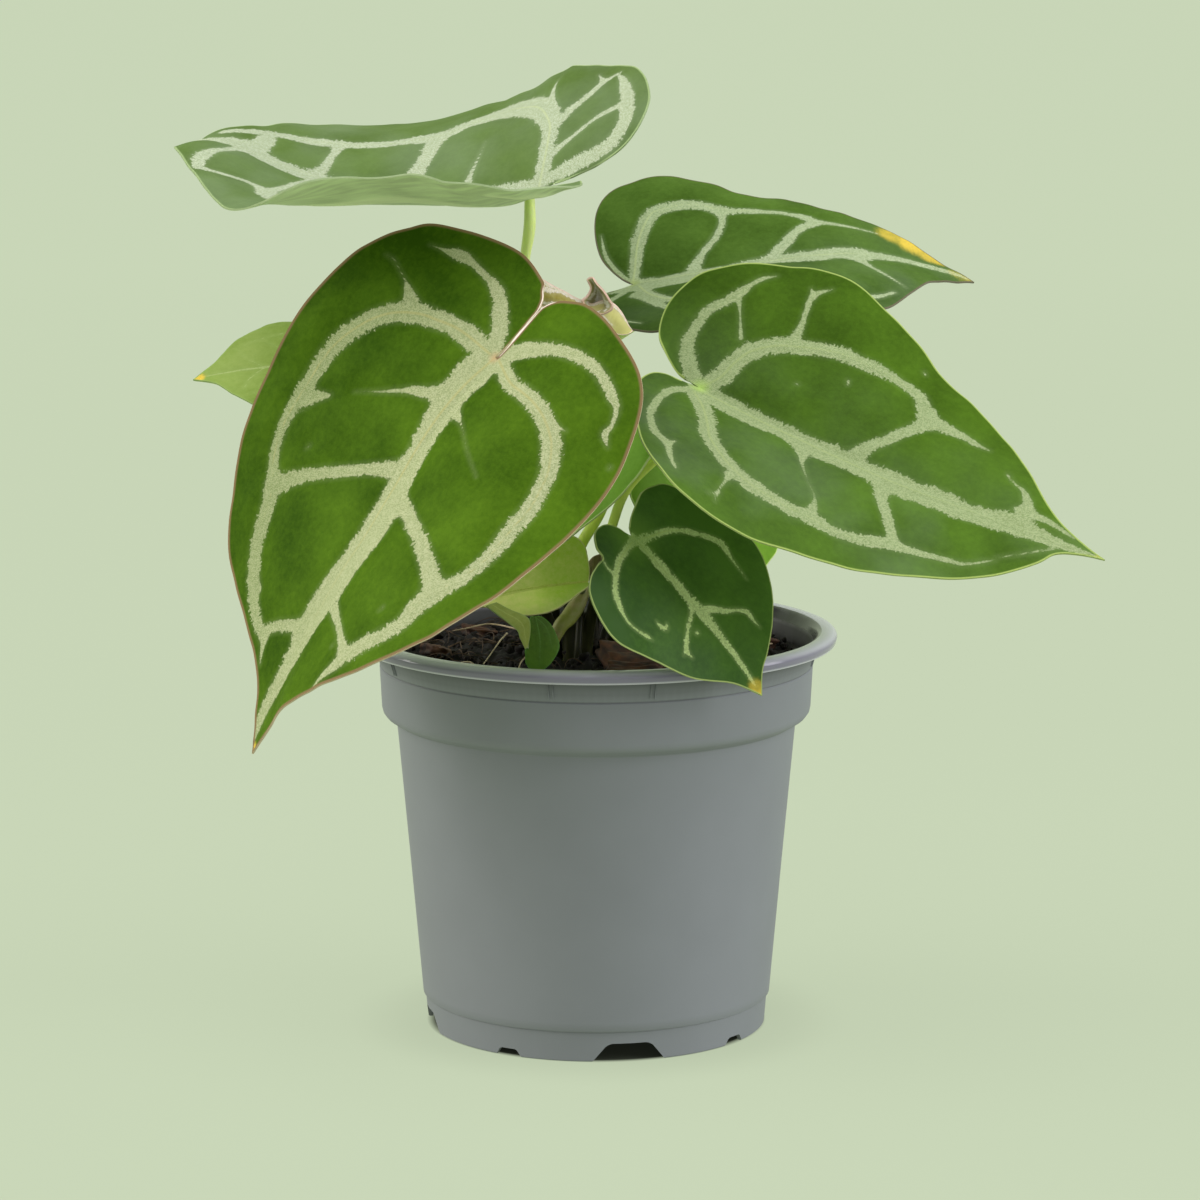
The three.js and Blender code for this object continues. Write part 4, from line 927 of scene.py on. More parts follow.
def vein_cover(tree, flat, fields, size, grown):
    """How much of each point a vein covers, and how far its edge is pushed there: bristles
    0.6 mm apart, grains and steps each move the edge by tenths of a millimetre, less on thin
    veins, inside a faint haze."""
    depth = fields["vein"]
    comb = add(tree, "CombineXYZ", fields["run"], depth)
    stretch = add(tree, "Mapping", comb, named={"Scale": (1.6, 0.5, 1.0)})
    hairs = add(tree, "TexNoise", stretch, 1.0, 2.5, 0.6, noise_dimensions="2D")
    grains = add(tree, "TexNoise", flat, GRAINS, 4.0, 0.65)
    steps = add(tree, "TexNoise", flat, STEPS, 1.5)
    push = add(tree, "Math", hairs, 0.9, grains, operation="MULTIPLY_ADD")
    push = add(tree, "Math", steps, 0.9, push, operation="MULTIPLY_ADD")
    push = add(tree, "Math", push, 1.4, operation="SUBTRACT")
    play = add(tree, "MapRange", fields["girth"], 0.2, 2.2 * size ** 0.75, 0.2, 2.3 if grown else 1.2)
    sway = add(tree, "Math", push, play, operation="MULTIPLY")
    frayed = add(tree, "Math", sway, depth, operation="ADD")
    crisp = max(size, 0.7)
    inside = add(tree, "MapRange", frayed, -0.16 * crisp, 0.28 * crisp, **SMOOTH)
    haze = add(tree, "MapRange", depth, -1.4 * crisp, 0.2, 0.0, 0.1 if size > 0.9 else 0.17, **SMOOTH)
    return add(tree, "Math", inside, haze, operation="MAXIMUM"), push


def blade_material(name):
    """Velvet leaf: a matt cuticle over soft tissue, with silvery crystalline veins that
    scatter light in fine grains, and a thin margin."""
    dark, light, vein, line, margin, _ = (linear(code) for code in LOOKS[name])
    blade = FURLS.get(name) or LEAVES[name]
    length, width = blade["length"], blade.get("span") or blade["width"]
    size = length / FULL_GROWN
    grown = name in GROWN

    material, tree = new_material("velvet leaf, upper side, " + name.replace("leaf_", ""))
    flat = add(tree, "UVMap", uv_map="flat_leaf")
    at = add(tree, "SeparateXYZ", flat)
    fields = {key: add(tree, "Attribute", attribute_name=key, **FIELD).outputs["Fac"] for key in FIELDS}
    cover, push = vein_cover(tree, flat, fields, size, grown)

    def slope(start, tip, left):
        """A share at the petiole point that changes towards the tip and the left margin."""
        along = add(tree, "Math", at.outputs[0], FLAT_UNIT * tip / length, start, operation="MULTIPLY_ADD")
        return add(tree, "Math", at.outputs[1], FLAT_UNIT * left / width, along, operation="MULTIPLY_ADD")

    # the green between the veins, with painted light and shade across it and a painted sheen on it
    to_tip, to_left, *painted_sheen_slope = PAINTED_SHADE_AND_SHEEN.get(name, (0.0, 0.0, 0.0, 0.0, 0.0))
    drift = add(tree, "TexNoise", flat, DRIFTS, 2.0)
    tone = add(tree, "MapRange", drift, 0.3, 0.7, -0.36, 0.36)
    # painted light and shade: the green lightens or darkens towards the tip and the left margin
    tone = add(tree, "Math", tone, slope(0.5 - 0.35 * to_tip, to_tip, to_left), operation="ADD")
    mottle = add(tree, "TexNoise", flat, MOTTLE, 4.5, 0.75)
    speck = add(tree, "MapRange", mottle, 0.3, 0.7, -0.24, 0.24)
    tone = add(tree, "Math", tone, speck, operation="ADD", use_clamp=True)
    green = add(tree, "Mix", tone, dark, light, **COLOUR)
    # painted sheen: a grey veil over the green, in clouds
    if name in PAINTED_SHADE_AND_SHEEN:
        clouds = add(tree, "TexNoise", flat, CLOUDS, 3.0, noise_dimensions="2D")
        cloud = add(tree, "MapRange", clouds, 0.38, 0.62, 0.3, 1.7)
        painted_sheen_share = add(tree, "Math", slope(*painted_sheen_slope), cloud, operation="MULTIPLY")
        painted_sheen_share = add(tree, "Math", painted_sheen_share, 0.0, operation="MAXIMUM")
        green = add(tree, "Mix", painted_sheen_share, green, linear(PAINTED_SHEEN), **COLOUR)

    # the silver: some crystals are dull and some bright, and main veins have a fine rib line
    crystal = add(tree, "TexVoronoi", flat, CRYSTALS, voronoi_dimensions="2D")
    chance = add(tree, "SeparateColor", crystal.outputs["Color"])
    sparkle = add(tree, "MapRange", chance.outputs[0], 0.2, 0.8)
    core = add(tree, "MapRange", fields["vein"], size, 3.2 * size, 0.0, 0.25, **SMOOTH)
    dulled = add(tree, "Math", sparkle, core, operation="MAXIMUM")
    dull = tuple(mix(v, c, 0.4) for v, c in zip(vein, light))
    silver = add(tree, "Mix", dulled, vein, dull, **COLOUR)
    if name in FADE:
        faint = add(tree, "Math", slope(*FADE[name]), 0.0, operation="MAXIMUM")
        silver = add(tree, "Mix", faint, silver, light, **COLOUR)
    rib = add(tree, "MapRange", fields["middle"], 0.5 * size, 0.1, 0.0, 0.52 if grown else 0.35, **SMOOTH)
    silver = add(tree, "Mix", rib, silver, line, **COLOUR)
    coat = add(tree, "Mix", cover, green, silver, **COLOUR)
    if name in SPOT:
        tint, reach, most = SPOT[name]
        away = add(tree, "VectorMath", flat, operation="LENGTH")
        spot = add(tree, "MapRange", away, reach / FLAT_UNIT, 0.0, 0.0, most, **SMOOTH)
        coat = add(tree, "Mix", spot, coat, linear(tint), **COLOUR)

    # yellow, then brown, where the tissue has aged; last the thin margin
    old = add(tree, "Math", push, 0.22, fields["aged"], operation="MULTIPLY_ADD")
    for young, aged, tone in ((0.1, 0.8, YELLOWED), (0.85, 1.2, BROWNED)):
        share = add(tree, "MapRange", old, young, aged, **SMOOTH)
        coat = add(tree, "Mix", share, coat, linear(tone), **COLOUR)
    to_edge = fields["margin"]
    edge_width = margin_look(name)[0]
    rim = add(tree, "MapRange", to_edge, edge_width, 0.3 * edge_width, **SMOOTH)
    coat = add(tree, "Mix", rim, coat, margin, **COLOUR)
    if name in PAINTED_SINUS_HIGHLIGHT:
        # the sinus has a painted pale highlight on its lips, inside a dark line
        behind = add(tree, "MapRange", at.outputs[0], -0.004, -0.012)
        beside = add(tree, "Math", at.outputs[1], operation="ABSOLUTE")
        close = add(tree, "MapRange", beside, 0.034, 0.024)
        slit = add(tree, "Math", behind, close, operation="MULTIPLY")
        for low, high, tone in ((0.7, 0.45, margin), (0.32, 0.2, linear(PAINTED_SINUS_HIGHLIGHT[name]))):
            band = add(tree, "MapRange", to_edge, low, high, **SMOOTH)
            share = add(tree, "Math", slit, band, operation="MULTIPLY")
            coat = add(tree, "Mix", share, coat, tone, **COLOUR)

    relief = add(tree, "Bump", named={"Strength": 0.3, "Distance": 0.0002, "Height": mottle})
    grit = add(tree, "Math", cover, crystal, operation="MULTIPLY")
    crust = add(tree, "Bump", named={"Strength": 0.5, "Distance": 0.00025, "Height": grit, "Normal": relief})
    shader = add(tree, "BsdfPrincipled", named={
        "Base Color": coat, "Roughness": 0.5, "IOR": LEAF_IOR, "Normal": crust,
        "Specular IOR Level": 0.02 if grown else 0.15})
    add(tree, "OutputMaterial", shader)
    return material


def underside_material(name):
    """Leaf underside: paler and duller than the top, softly streaked, with raised pale ribs."""
    under = linear(LOOKS[name][5])
    material, tree = new_material("velvet leaf, underside, " + name.replace("leaf_", ""))
    flat = add(tree, "UVMap", uv_map="flat_leaf")
    stretch = add(tree, "Mapping", flat, named={"Scale": (1.0, 4.0, 1.0)})
    streak = add(tree, "TexNoise", stretch, STREAKS, 4.0)
    streaks = add(tree, "MapRange", streak, 0.35, 0.68)
    ribs = add(tree, "Attribute", attribute_name="vein", **FIELD)
    raised = add(tree, "MapRange", ribs.outputs["Fac"], -1.5, 1.0, 0.0, 0.6, **SMOOTH)
    pale = tuple(min(1.0, c * 1.3 + 0.03) for c in under[:3]) + (1.0,)
    ground = add(tree, "Mix", streaks, shaded(under, 0.72), under, **COLOUR)
    tinted = add(tree, "Mix", raised, ground, pale, **COLOUR)
    shader = add(tree, "BsdfPrincipled", named={"Base Color": tinted, "Roughness": 0.6, "IOR": LEAF_IOR})
    add(tree, "OutputMaterial", shader)
    return material


def margin_look(name):
    """The width of a leaf's margin in mm and the colour of its bare edge."""
    blade = FURLS.get(name) or LEAVES[name]
    return MARGINS.get(name, (0.55 * max(blade["length"] / FULL_GROWN, 0.7), LOOKS[name][4]))


def margin_material(name):
    """Bare leaf margin: thin, slightly grained cuticle, on the cut of the blade."""
    bare = linear(margin_look(name)[1])
    material, tree = new_material("leaf margin, " + name.replace("leaf_", ""))
    place = add(tree, "TexCoord")
    grain = add(tree, "TexNoise", place.outputs["Object"], 500.0, 3.0)
    tone = add(tree, "Mix", grain, bare, shaded(bare, 0.7), **COLOUR)
    shader = add(tree, "BsdfPrincipled", named={"Base Color": tone, "Roughness": 0.5})
    add(tree, "OutputMaterial", shader)
    return material


# ------------------------------------------------------------------ stems
def stem_path(name):
    """A stem's course in mm: straight out of the peat, through its points, up under the blade."""
    _, (x, y), via, arrive = STEMS[name]
    form = leaf_form(LEAVES["leaf_" + name])
    at = np.array([1.5]), np.array([0.0])
    top, under = form(*at)[0], -form_normals(form, *at)[0]
    if arrive:
        under = np.array(arrive, dtype=float)
    return [(x, y, STEM_FOOT), (x, y, STEM_FOOT + 6), (x, y, SOIL_LEVEL + 2), *via,
            tuple(top + under * 9), tuple(top + under * 4), tuple(top + under * 0.5)]


def build_stem(name):
    """Models one stem, swollen where it meets the peat and the blade."""
    path = spaced(smooth_curve(stem_path(name), 10, centripetal=True), 70)
    t = np.linspace(0, 1, len(path))
    knee = 0.22 * np.exp(-((t - 0.93) / 0.05) ** 2)
    foot = 0.28 * np.exp(-((t - 0.12) / 0.14) ** 2)
    course = np.column_stack([path, 0.93 + knee + foot - 0.1 * t])
    return tubes("stem_" + name + "_tube", [course], STEMS[name][0], 3, caps=True)


def stem_material(shade, young=False):
    """Fresh leaf stem: smooth waxy skin over wet tissue, finely streaked along its length, with painted
    shade darkening it towards the foot; the young copy is painted paler, as painted light for stems in the
    blades' shade."""
    material, tree = new_material("leaf stem with painted light" if young else "fresh leaf stem")
    place = add(tree, "TexCoord").outputs["Object"]
    # streaks 0.7 mm wide and 6 mm long
    lengthwise = add(tree, "Mapping", place, named={"Scale": (1.0, 1.0, 0.12)})
    streak = add(tree, "TexNoise", lengthwise, 1400.0, 2.0)
    # the young skin is painted paler, as painted light
    skin = shaded(shade, *((1.04, 1.14, 0.82) if young else (0.88, 0.92, 1.1)))
    base = add(tree, "Mix", streak, shaded(skin, 0.9 if young else 0.8), skin, **COLOUR)
    height = add(tree, "SeparateXYZ", place).outputs["Z"]
    # painted shade: the stem darkens nearly to black towards its foot
    foot = add(tree, "MapRange", height, 0.122, 0.107, 0.0, 0.97)
    painted_foot_shade = add(tree, "Mix", foot, base, linear("#17130a"), **COLOUR)
    shader = add(tree, "BsdfPrincipled", named={
        "Base Color": painted_foot_shade, "Roughness": 0.42, "IOR": 1.42, "Specular IOR Level": 0.3,
        "Subsurface Weight": 0.5, "Subsurface Radius": (0.9, 1.0, 0.4), "Subsurface Scale": 0.003})
    add(tree, "OutputMaterial", shader)
    return material


# ------------------------------------------------------------------ pot
FOOT_NOTCHES = [(4, -79, 18.0, 10.6, 4.6), (2, -120.5, 6.8, 4.6, 1.9),
                (2, -36.5, 6.8, 4.6, 1.9)]          # count, first bearing, low, high, tall
DRAIN_HOLES = (8, -79, 35.0, 4.0)                   # count, first bearing, ring, radius
COLLAR_RIBS = (-155.0, -101.4, -75.6, -11.0)        # bearings of the paired ribs
RIM_LINE = 0.0967                                   # height of the rim's lower edge, in metres


def pot_profile(pot):
    """The pot's closed section as (radius, height) in mm, from the foot up and back inside."""
    rim, top = pot.rim_radius / MM, pot.height / MM
    return [
        (42.1, 0.0), (42.4, 0.25), (42.95, 6.9), (43.05, 7.35), (43.0, 7.5), (43.4, 7.65), (43.62, 7.95),
        (43.8, 10), (46.6, 42), (49.75, 76.6), (49.85, 77.3), (50.3, 77.8), (51.6, 78.35), (52.6, 79.0),
        (53.25, 79.9), (53.5, 81.0), (53.75, 86), (54.0, 90.6), (54.0, 91.1), (53.8, 91.4), (54.0, 91.8),
        (54.4, 93.4), (55.1, 95.6), (55.9, 97.6), (56.6, 98.3), (57.8, 98.5), (58.6, 98.2), (58.8, 97.4),
        (58.85, 96.95), (59.1, 96.8), (59.5, 96.9), (59.75, 97.3), (rim - 0.05, 98.1), (rim, 98.5),
        (59.8, 99.1), (59.3, 99.6), (58.5, 99.9), (57.4, top), (56.3, 99.9), (55.5, 99.6), (55.0, 99.1),
        (54.6, 98.3), (54.1, 97.0), (53.2, 95.4), (52.85, 93.0), (52.6, 88), (52.3, 81.5), (52.0, 80.3),
        (51.2, 79.5), (49.6, 78.7), (48.8, 78.0), (48.5, 76.8), (45.4, 42), (42.5, 9.4), (42.0, 8.0),
        (41.0, 7.2), (39.4, 6.7), (30, 6.6), (20, 6.6), (10, 6.6), (0, 6.6), (0, 5.2), (10, 5.2),
        (20, 5.2), (30, 5.2), (39.8, 5.2), (40.6, 5.0), (41.0, 4.4), (41.2, 3.0), (41.3, 0.25), (41.5, 0.0),
    ]


def bearings(count, first):
    """Angles of evenly spaced features round the pot, from the first one's bearing."""
    return [(first + 360 / count * i) * RAD for i in range(count)]


def build_pot(pot):
    """Models the pot: a section spun about the axis, then notched and drilled."""
    piece = primitive(bpy.ops.mesh.primitive_plane_add, size=0.001)
    bpy.ops.object.mode_set(mode="EDIT")
    bpy.ops.mesh.merge(type="CENTER")
    profile = [(r * MM, z * MM) for r, z in pot_profile(pot)]
    last = (0.0, 0.0)
    for k, (r, z) in enumerate(profile):
        move = (r - last[0], 0, z - last[1])
        if k == 0:
            bpy.ops.transform.translate(value=move)
        else:
            bpy.ops.mesh.extrude_vertices_move(TRANSFORM_OT_translate={"value": move})
        last = (r, z)
    bpy.ops.mesh.select_all(action="SELECT")
    bpy.ops.mesh.spin(steps=160, angle=TURN, center=(0, 0, 0), axis=(0, 0, 1))
    bpy.ops.mesh.select_all(action="SELECT")
    bpy.ops.mesh.remove_doubles(threshold=0.01 * MM)
    # drop the bare edge on the axis, then close the section from the foot's inner edge to its outer
    bpy.ops.mesh.delete_loose(use_verts=True, use_edges=True, use_faces=False)
    bpy.ops.mesh.select_all(action="DESELECT")
    bpy.ops.mesh.select_mode(type="EDGE")
    bpy.ops.mesh.select_non_manifold()
    bpy.ops.mesh.bridge_edge_loops()
    bpy.ops.mesh.select_mode(type="VERT")
    bpy.ops.mesh.select_all(action="SELECT")
    bpy.ops.mesh.normals_make_consistent(inside=False)
    bpy.ops.object.mode_set(mode="OBJECT")
    piece.name = piece.data.name = "pot_moulding"

    cutters = [notch_cutter(bearing, low, high, tall) for count, first, low, high, tall in FOOT_NOTCHES
               for bearing in bearings(count, first)]
    count, first, ring, radius = DRAIN_HOLES
    for bearing in bearings(count, first):
        place = (ring * MM * math.cos(bearing), ring * MM * math.sin(bearing), 5.9 * MM)
        cutters.append(primitive(bpy.ops.mesh.primitive_cylinder_add, vertices=40, radius=radius * MM,
                                 depth=6 * MM, location=place))
    for cutter in cutters:
        cut = piece.modifiers.new("cut", "BOOLEAN")
        cut.operation = "DIFFERENCE"
        cut.solver = "EXACT"
        cut.object = cutter
    apply_all(piece)
    for cutter in cutters:
        bpy.data.objects.remove(cutter, do_unlink=True)
    set_points(piece, get_points(piece) + np.array(AXIS))
    smooth_by_angle(piece, 32)
    return piece


def notch_cutter(bearing, low, high, tall):
    """A round-cornered wedge that cuts one drainage notch through the foot skirt."""
    cutter = primitive(bpy.ops.mesh.primitive_cube_add, size=1)
    inner, outer, below, corner = 36, 47, -1.0, 1.6
    for v in cutter.data.vertices:
        above = v.co.z > 0
        v.co = ((inner if v.co.x < 0 else outer) * MM,
                math.copysign((high if above else low + corner) / 2, v.co.y) * MM,
                (tall if above else below) * MM)
    rounded = cutter.modifiers.new("corners", "BEVEL")
    rounded.width = min(corner, tall * 0.4) * MM
    rounded.segments = 5
    rounded.limit_method = "ANGLE"
    rounded.angle_limit = 20 * RAD
    cutter.rotation_euler = (0, 0, bearing)
    apply_all(cutter)
    return cutter


def build_ribs():
    """The pairs of hair-thin ribs between the rim's lip and the collar line."""
    strips = []
    for bearing in COLLAR_RIBS:
        for offset in (-0.55, 0.55):
            strip = primitive(bpy.ops.mesh.primitive_cube_add, size=1)
            for v in strip.data.vertices:
                top = v.co.z > 0
                r = (55.5 if top else 54.1) + (0.35 if v.co.x > 0 else -0.5)
                v.co = (r * MM, (offset + math.copysign(0.14, v.co.y)) * MM, (97.0 if top else 92.2) * MM)
            edge = strip.modifiers.new("edge", "BEVEL")
            edge.width = 0.07 * MM
            edge.segments = 2
            strip.rotation_euler = (0, 0, bearing * RAD)
            strip.location = AXIS
            apply_all(strip)
            strips.append(strip)
    piece = join(strips, "pot_collar_ribs")
    smooth_by_angle(piece, 40)
    return piece


def pot_material(shade):
    """Injection-moulded polypropylene: even mid grey, softly matt, with the faintest mottle from
    the mould.  The rolled rim is smoother and cooler, with a painted highlight on its lip and along its top;
    painted shade darkens the hollow under it, and the inner wall above the peat is darkened in patches."""
    material, tree = new_material("moulded grey polypropylene")
    place = add(tree, "TexCoord").outputs["Object"]
    height = add(tree, "SeparateXYZ", place).outputs["Z"]
    # mottle 18 mm across
    cloud = add(tree, "TexNoise", place, 55.0, 3.0)
    tone = add(tree, "Mix", cloud, shaded(shade, 0.93), shaded(shade, 1.05), **COLOUR)
    rim = add(tree, "MapRange", height, RIM_LINE - 0.0003, RIM_LINE)
    tone = add(tree, "Mix", rim, tone, linear("#7e7b8c"), **COLOUR)
    # painted highlight along the top of the rolled rim
    crest = add(tree, "MapRange", height, 0.0985, 0.0997, 0.0, 0.85, **SMOOTH)
    tone = add(tree, "Mix", crest, tone, linear("#c6c7d0"), **COLOUR)
    # painted highlight along the lip's lower edge
    lip = add(tree, "MapRange", height, 0.0975, 0.0971, 0.0, 0.8)
    lip = add(tree, "Math", lip, rim, operation="MULTIPLY")
    tone = add(tree, "Mix", lip, tone, linear("#c4c4cc"), **COLOUR)

    # the inner wall lies under a cone that leans 0.28 outwards; it is darkened nearly to black in patches 3
    # mm across
    about = add(tree, "VectorMath", place, AXIS, operation="SUBTRACT")
    level = add(tree, "VectorMath", about, (1.0, 1.0, 0.0), operation="MULTIPLY")
    out = add(tree, "VectorMath", level, operation="LENGTH")
    lean = add(tree, "Math", height, -0.28, out, operation="MULTIPLY_ADD")
    inner = add(tree, "MapRange", lean, 0.0283, 0.028)
    high = add(tree, "MapRange", height, 0.085, 0.089)
    wall_patch_noise = add(tree, "TexNoise", place, 300.0, 4.0)
    patchy = add(tree, "MapRange", wall_patch_noise, 0.3, 0.6, 0.93)
    darkened_wall = add(tree, "Math", inner, high, operation="MULTIPLY")
    darkened_wall = add(tree, "Math", darkened_wall, patchy, operation="MULTIPLY")
    tone = add(tree, "Mix", darkened_wall, tone, linear("#161711"), **COLOUR)
    # painted shade in the crease under the rim, darkest just under it
    under = add(tree, "MapRange", height, 0.0928, 0.0962, 0.0, 0.5, **SMOOTH)
    above = add(tree, "Math", height, RIM_LINE, operation="LESS_THAN")
    crease = add(tree, "Math", under, above, operation="MULTIPLY")
    tone = add(tree, "Mix", crease, tone, linear("#2a2d28"), **COLOUR)

    rough = add(tree, "MapRange", height, 0.0962, 0.0975, 0.62, 0.14)
    # grain of the mould, 0.4 mm
    grain = add(tree, "TexNoise", place, 2600.0, 2.0)
    fine = add(tree, "Bump", named={"Strength": 0.12, "Distance": 0.0001, "Height": grain})
    shader = add(tree, "BsdfPrincipled", named={
        "Base Color": tone, "Roughness": rough, "Normal": fine, "IOR": 1.49})
    add(tree, "OutputMaterial", shader)
    return material


# ------------------------------------------------------------------ peat
PEAT_EDGE = 52.4            # radius in mm at which the peat's top meets the wall
PEAT_SOLID = 52.9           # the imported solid's radius there


def soil_height(x, y):
    """Height of the peat in mm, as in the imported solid."""
    r = np.hypot(x, y) / PEAT_SOLID
    waves = np.sin(0.21 * x + 0.6) * np.cos(0.17 * y - 0.4) + 0.6 * np.sin(0.37 * y + 0.23 * x + 1.9)
    return SOIL_LEVEL + 1.1 * waves * (1 - r ** 4) - 1.5 * r ** 3


def build_peat():
    """Models the peat: a capped plug inside the pot whose top is broken into clods."""
    rings, spokes = 96, 260
    # the rings past the rim go down the wall and under: (radius, height)
    down = [(PEAT_EDGE, 91.5), (51.9, 80.5), (48.0, 75.8), (41.3, 9.6), (38.6, 7.3), (0.0, 7.2)]
    piece, ring, spoke = grid("peat_fill", rings + len(down), spokes)
    angle = TURN * spoke / spokes
    radius = np.where(ring <= rings, PEAT_EDGE * ring / rings, 0.0)
    x, y = radius * np.cos(angle), radius * np.sin(angle)
    lumps = np.array([noise.turbulence(Vector((a, b, 0.0)) / 5.5, 4, False, noise_basis="PERLIN_ORIGINAL")
                      for a, b in zip(x, y)])
    z = soil_height(x, y) + 2.6 * (lumps - 0.55) * np.clip((PEAT_EDGE - radius) / 4, 0.25, 1)
    for k, (r, level) in enumerate(down):
        last = ring == rings + 1 + k
        x[last], y[last], z[last] = r * np.cos(angle[last]), r * np.sin(angle[last]), level
    set_points(piece, to_frame(np.column_stack([x, y, z])))
    weld(piece, closed=True)
    smooth_by_angle(piece, 70)
    return piece


def peat_material(shade):
    """Moist sphagnum peat: near-black brown, crumbly, with rusty and tan flecks."""
    material, tree = new_material("moist peat")
    place = add(tree, "TexCoord").outputs["Object"]
    # clods 2.4 mm across and flecks 1.4 mm across
    clods = add(tree, "TexNoise", place, 420.0, 5.0, 0.65)
    fleck = add(tree, "TexVoronoi", place, 700.0)
    lit = add(tree, "MapRange", clods, 0.38, 0.68)
    ground = add(tree, "Mix", lit, shaded(shade, 0.35), shaded(shade, 1.0), **COLOUR)
    rusty = add(tree, "MapRange", fleck, 0.16, 0.08, 0.0, 0.6)
    flecked = add(tree, "Mix", rusty, ground, linear("#5a3d25"), **COLOUR)
    rough = add(tree, "Bump", named={"Strength": 0.9, "Distance": 0.0006, "Height": clods})
    shader = add(tree, "BsdfPrincipled", named={"Base Color": flecked, "Roughness": 0.85, "Normal": rough})
    add(tree, "OutputMaterial", shader)
    return material


def plain_material(name, low, high, scale, roughness, bump=0.3):
    """A natural surface that drifts between two tones; scale is features per metre."""
    material, tree = new_material(name)
    place = add(tree, "TexCoord").outputs["Object"]
    grain = add(tree, "TexNoise", place, scale, 4.0, 0.6)
    share = add(tree, "MapRange", grain, 0.35, 0.65)
    tone = add(tree, "Mix", share, linear(low), linear(high), **COLOUR)
    relief = add(tree, "Bump", named={"Strength": bump, "Distance": 0.0004, "Height": grain})
    shader = add(tree, "BsdfPrincipled", named={"Base Color": tone, "Roughness": roughness, "Normal": relief})
    add(tree, "OutputMaterial", shader)
    return material


def turned(x, y, z, turn, size):
    """A matrix at a place in mm, turned by Euler angles and sized in mm."""
    place = Vector((x, y, z)) * MM + AXIS
    return np.array(Matrix.Translation(place) @ Euler(turn).to_matrix().to_4x4()
                    @ Matrix.Diagonal((size[0] * MM, size[1] * MM, size[2] * MM, 1.0)))


def build_crumbs(count):
    """Loose crumbs of peat: one knobbly lump, copied with seeded turns and sizes."""
    rng = random.Random(7)
    model = primitive(bpy.ops.mesh.primitive_ico_sphere_add, subdivisions=2, radius=0.5)
    for v in model.data.vertices:
        v.co *= 0.8 + 0.55 * noise.noise(v.co * 3.1)
    rows = get_points(model)
    faces = [tuple(p.vertices) for p in model.data.polygons]
    bpy.data.objects.remove(model, do_unlink=True)
    points, all_faces = [], []
    for _ in range(count):
        r, a = 51.0 * math.sqrt(rng.random()), rng.random() * TURN
        x, y = r * math.cos(a), r * math.sin(a)
        size = 0.8 + 2.4 * rng.random() ** 2.2
        z = float(soil_height(x, y)) + 0.2
        m = turned(x, y, z, [rng.random() * 6.28 for _ in range(3)], (size * 1.2, size, size * 0.7))
        base = len(points) * len(rows)
        points.append(rows @ m[:3, :3].T + m[:3, 3])
        all_faces += [tuple(v + base for v in face) for face in faces]
    mesh = bpy.data.meshes.new("peat_crumbs")
    mesh.from_pydata(np.vstack(points).tolist(), [], all_faces)
    piece = bpy.data.objects.new("peat_crumbs", mesh)
    bpy.context.collection.objects.link(piece)
    smooth_by_angle(piece, 80)
    return piece


def build_fibres(count):
    """Root fibres and moss threads lying on the peat."""
    rng = random.Random(19)
    courses = []
    for _ in range(count):
        r, a = 49.0 * math.sqrt(rng.random()), rng.random() * TURN
        heading, turn = rng.random() * 6.28, (rng.random() - 0.5) * 0.9
        x, y = r * math.cos(a), r * math.sin(a)
        steps = 5 + int(rng.random() * 5)
        arch = 0.4 + 1.6 * rng.random()
        course = []
        for i in range(steps + 1):
            t = i / steps
            if math.hypot(x, y) > 51.5:
                x, y = x * 0.97, y * 0.97
            z = float(soil_height(x, y)) + 0.3 + arch * math.sin(math.pi * t)
            course.append((x, y, z, 0.55 + 0.9 * rng.random() * (1 - t)))
            heading += turn
            x, y = x + 1.3 * math.cos(heading), y + 1.3 * math.sin(heading)
        courses.append(course)
    return tubes("peat_fibres", courses, 0.16, 0)


# pale roots that show on the surface: points in mm
ROOTS = [
    [(-22.5, 14, 96), (-24, 2, 96.3), (-25.5, -12, 96.3), (-27.5, -27, 95.8)],
    [(-16.4, -22, 97.2), (-17.2, -27, 97.6), (-18.4, -31, 96.8), (-19.2, -35, 94.6)],
    [(-34, -24, 95.4), (-31, -28, 96.6), (-29, -31, 96.0), (-27, -32, 94.6)],
    [(20, 6, 96.8), (26, 9, 97.6), (31, 8, 96.4), (35, 4, 95)],
    [(14, 22, 96.2), (18, 28, 97.4), (16, 35, 96), (19, 40, 94.4)],
    [(-20, 18, 96.4), (-27, 22, 97), (-33, 20, 96.2), (-38, 24, 94.6)],
    [(38, -6, 95.4), (42, -2, 96.2), (44, 4, 95.2), (43, 9, 94)],
]


def build_roots():
    """A few pale surface roots that thin to half their girth."""
    paths = [spaced(smooth_curve(course, 6), 16) for course in ROOTS]
    taper = 1.1 - 0.5 * np.arange(17) / 17
    return tubes("pale_roots", [np.column_stack([path, taper]) for path in paths], 0.22, 1)


# bark pieces: x, y in mm, turn, size in mm
BARK = [
    (9.5, -35.5, (0.25, 0.1, 0.2), (13, 7, 4.5)), (25, -32, (0.1, 0.3, 1.1), (9, 6, 3)),
    (37, -18, (0.3, 0.2, 2.0), (8, 5, 3)), (40, 10, (0.1, 0.2, 0.6), (10, 6, 3.4)),
    (24, 30, (0.2, 0.1, 2.6), (9, 7, 3)), (-4, 38, (0.2, 0.3, 1.4), (11, 6, 3.6)),
    (-30, 28, (0.1, 0.2, 0.4), (8, 6, 3)), (-40, 2, (0.3, 0.1, 1.9), (9, 6, 3.2)),
    (9, -25, (0.35, 0.1, 0.3), (14, 16, 5)), (16, 17, (0.1, 0.4, 0.9), (8, 5, 3)),
]


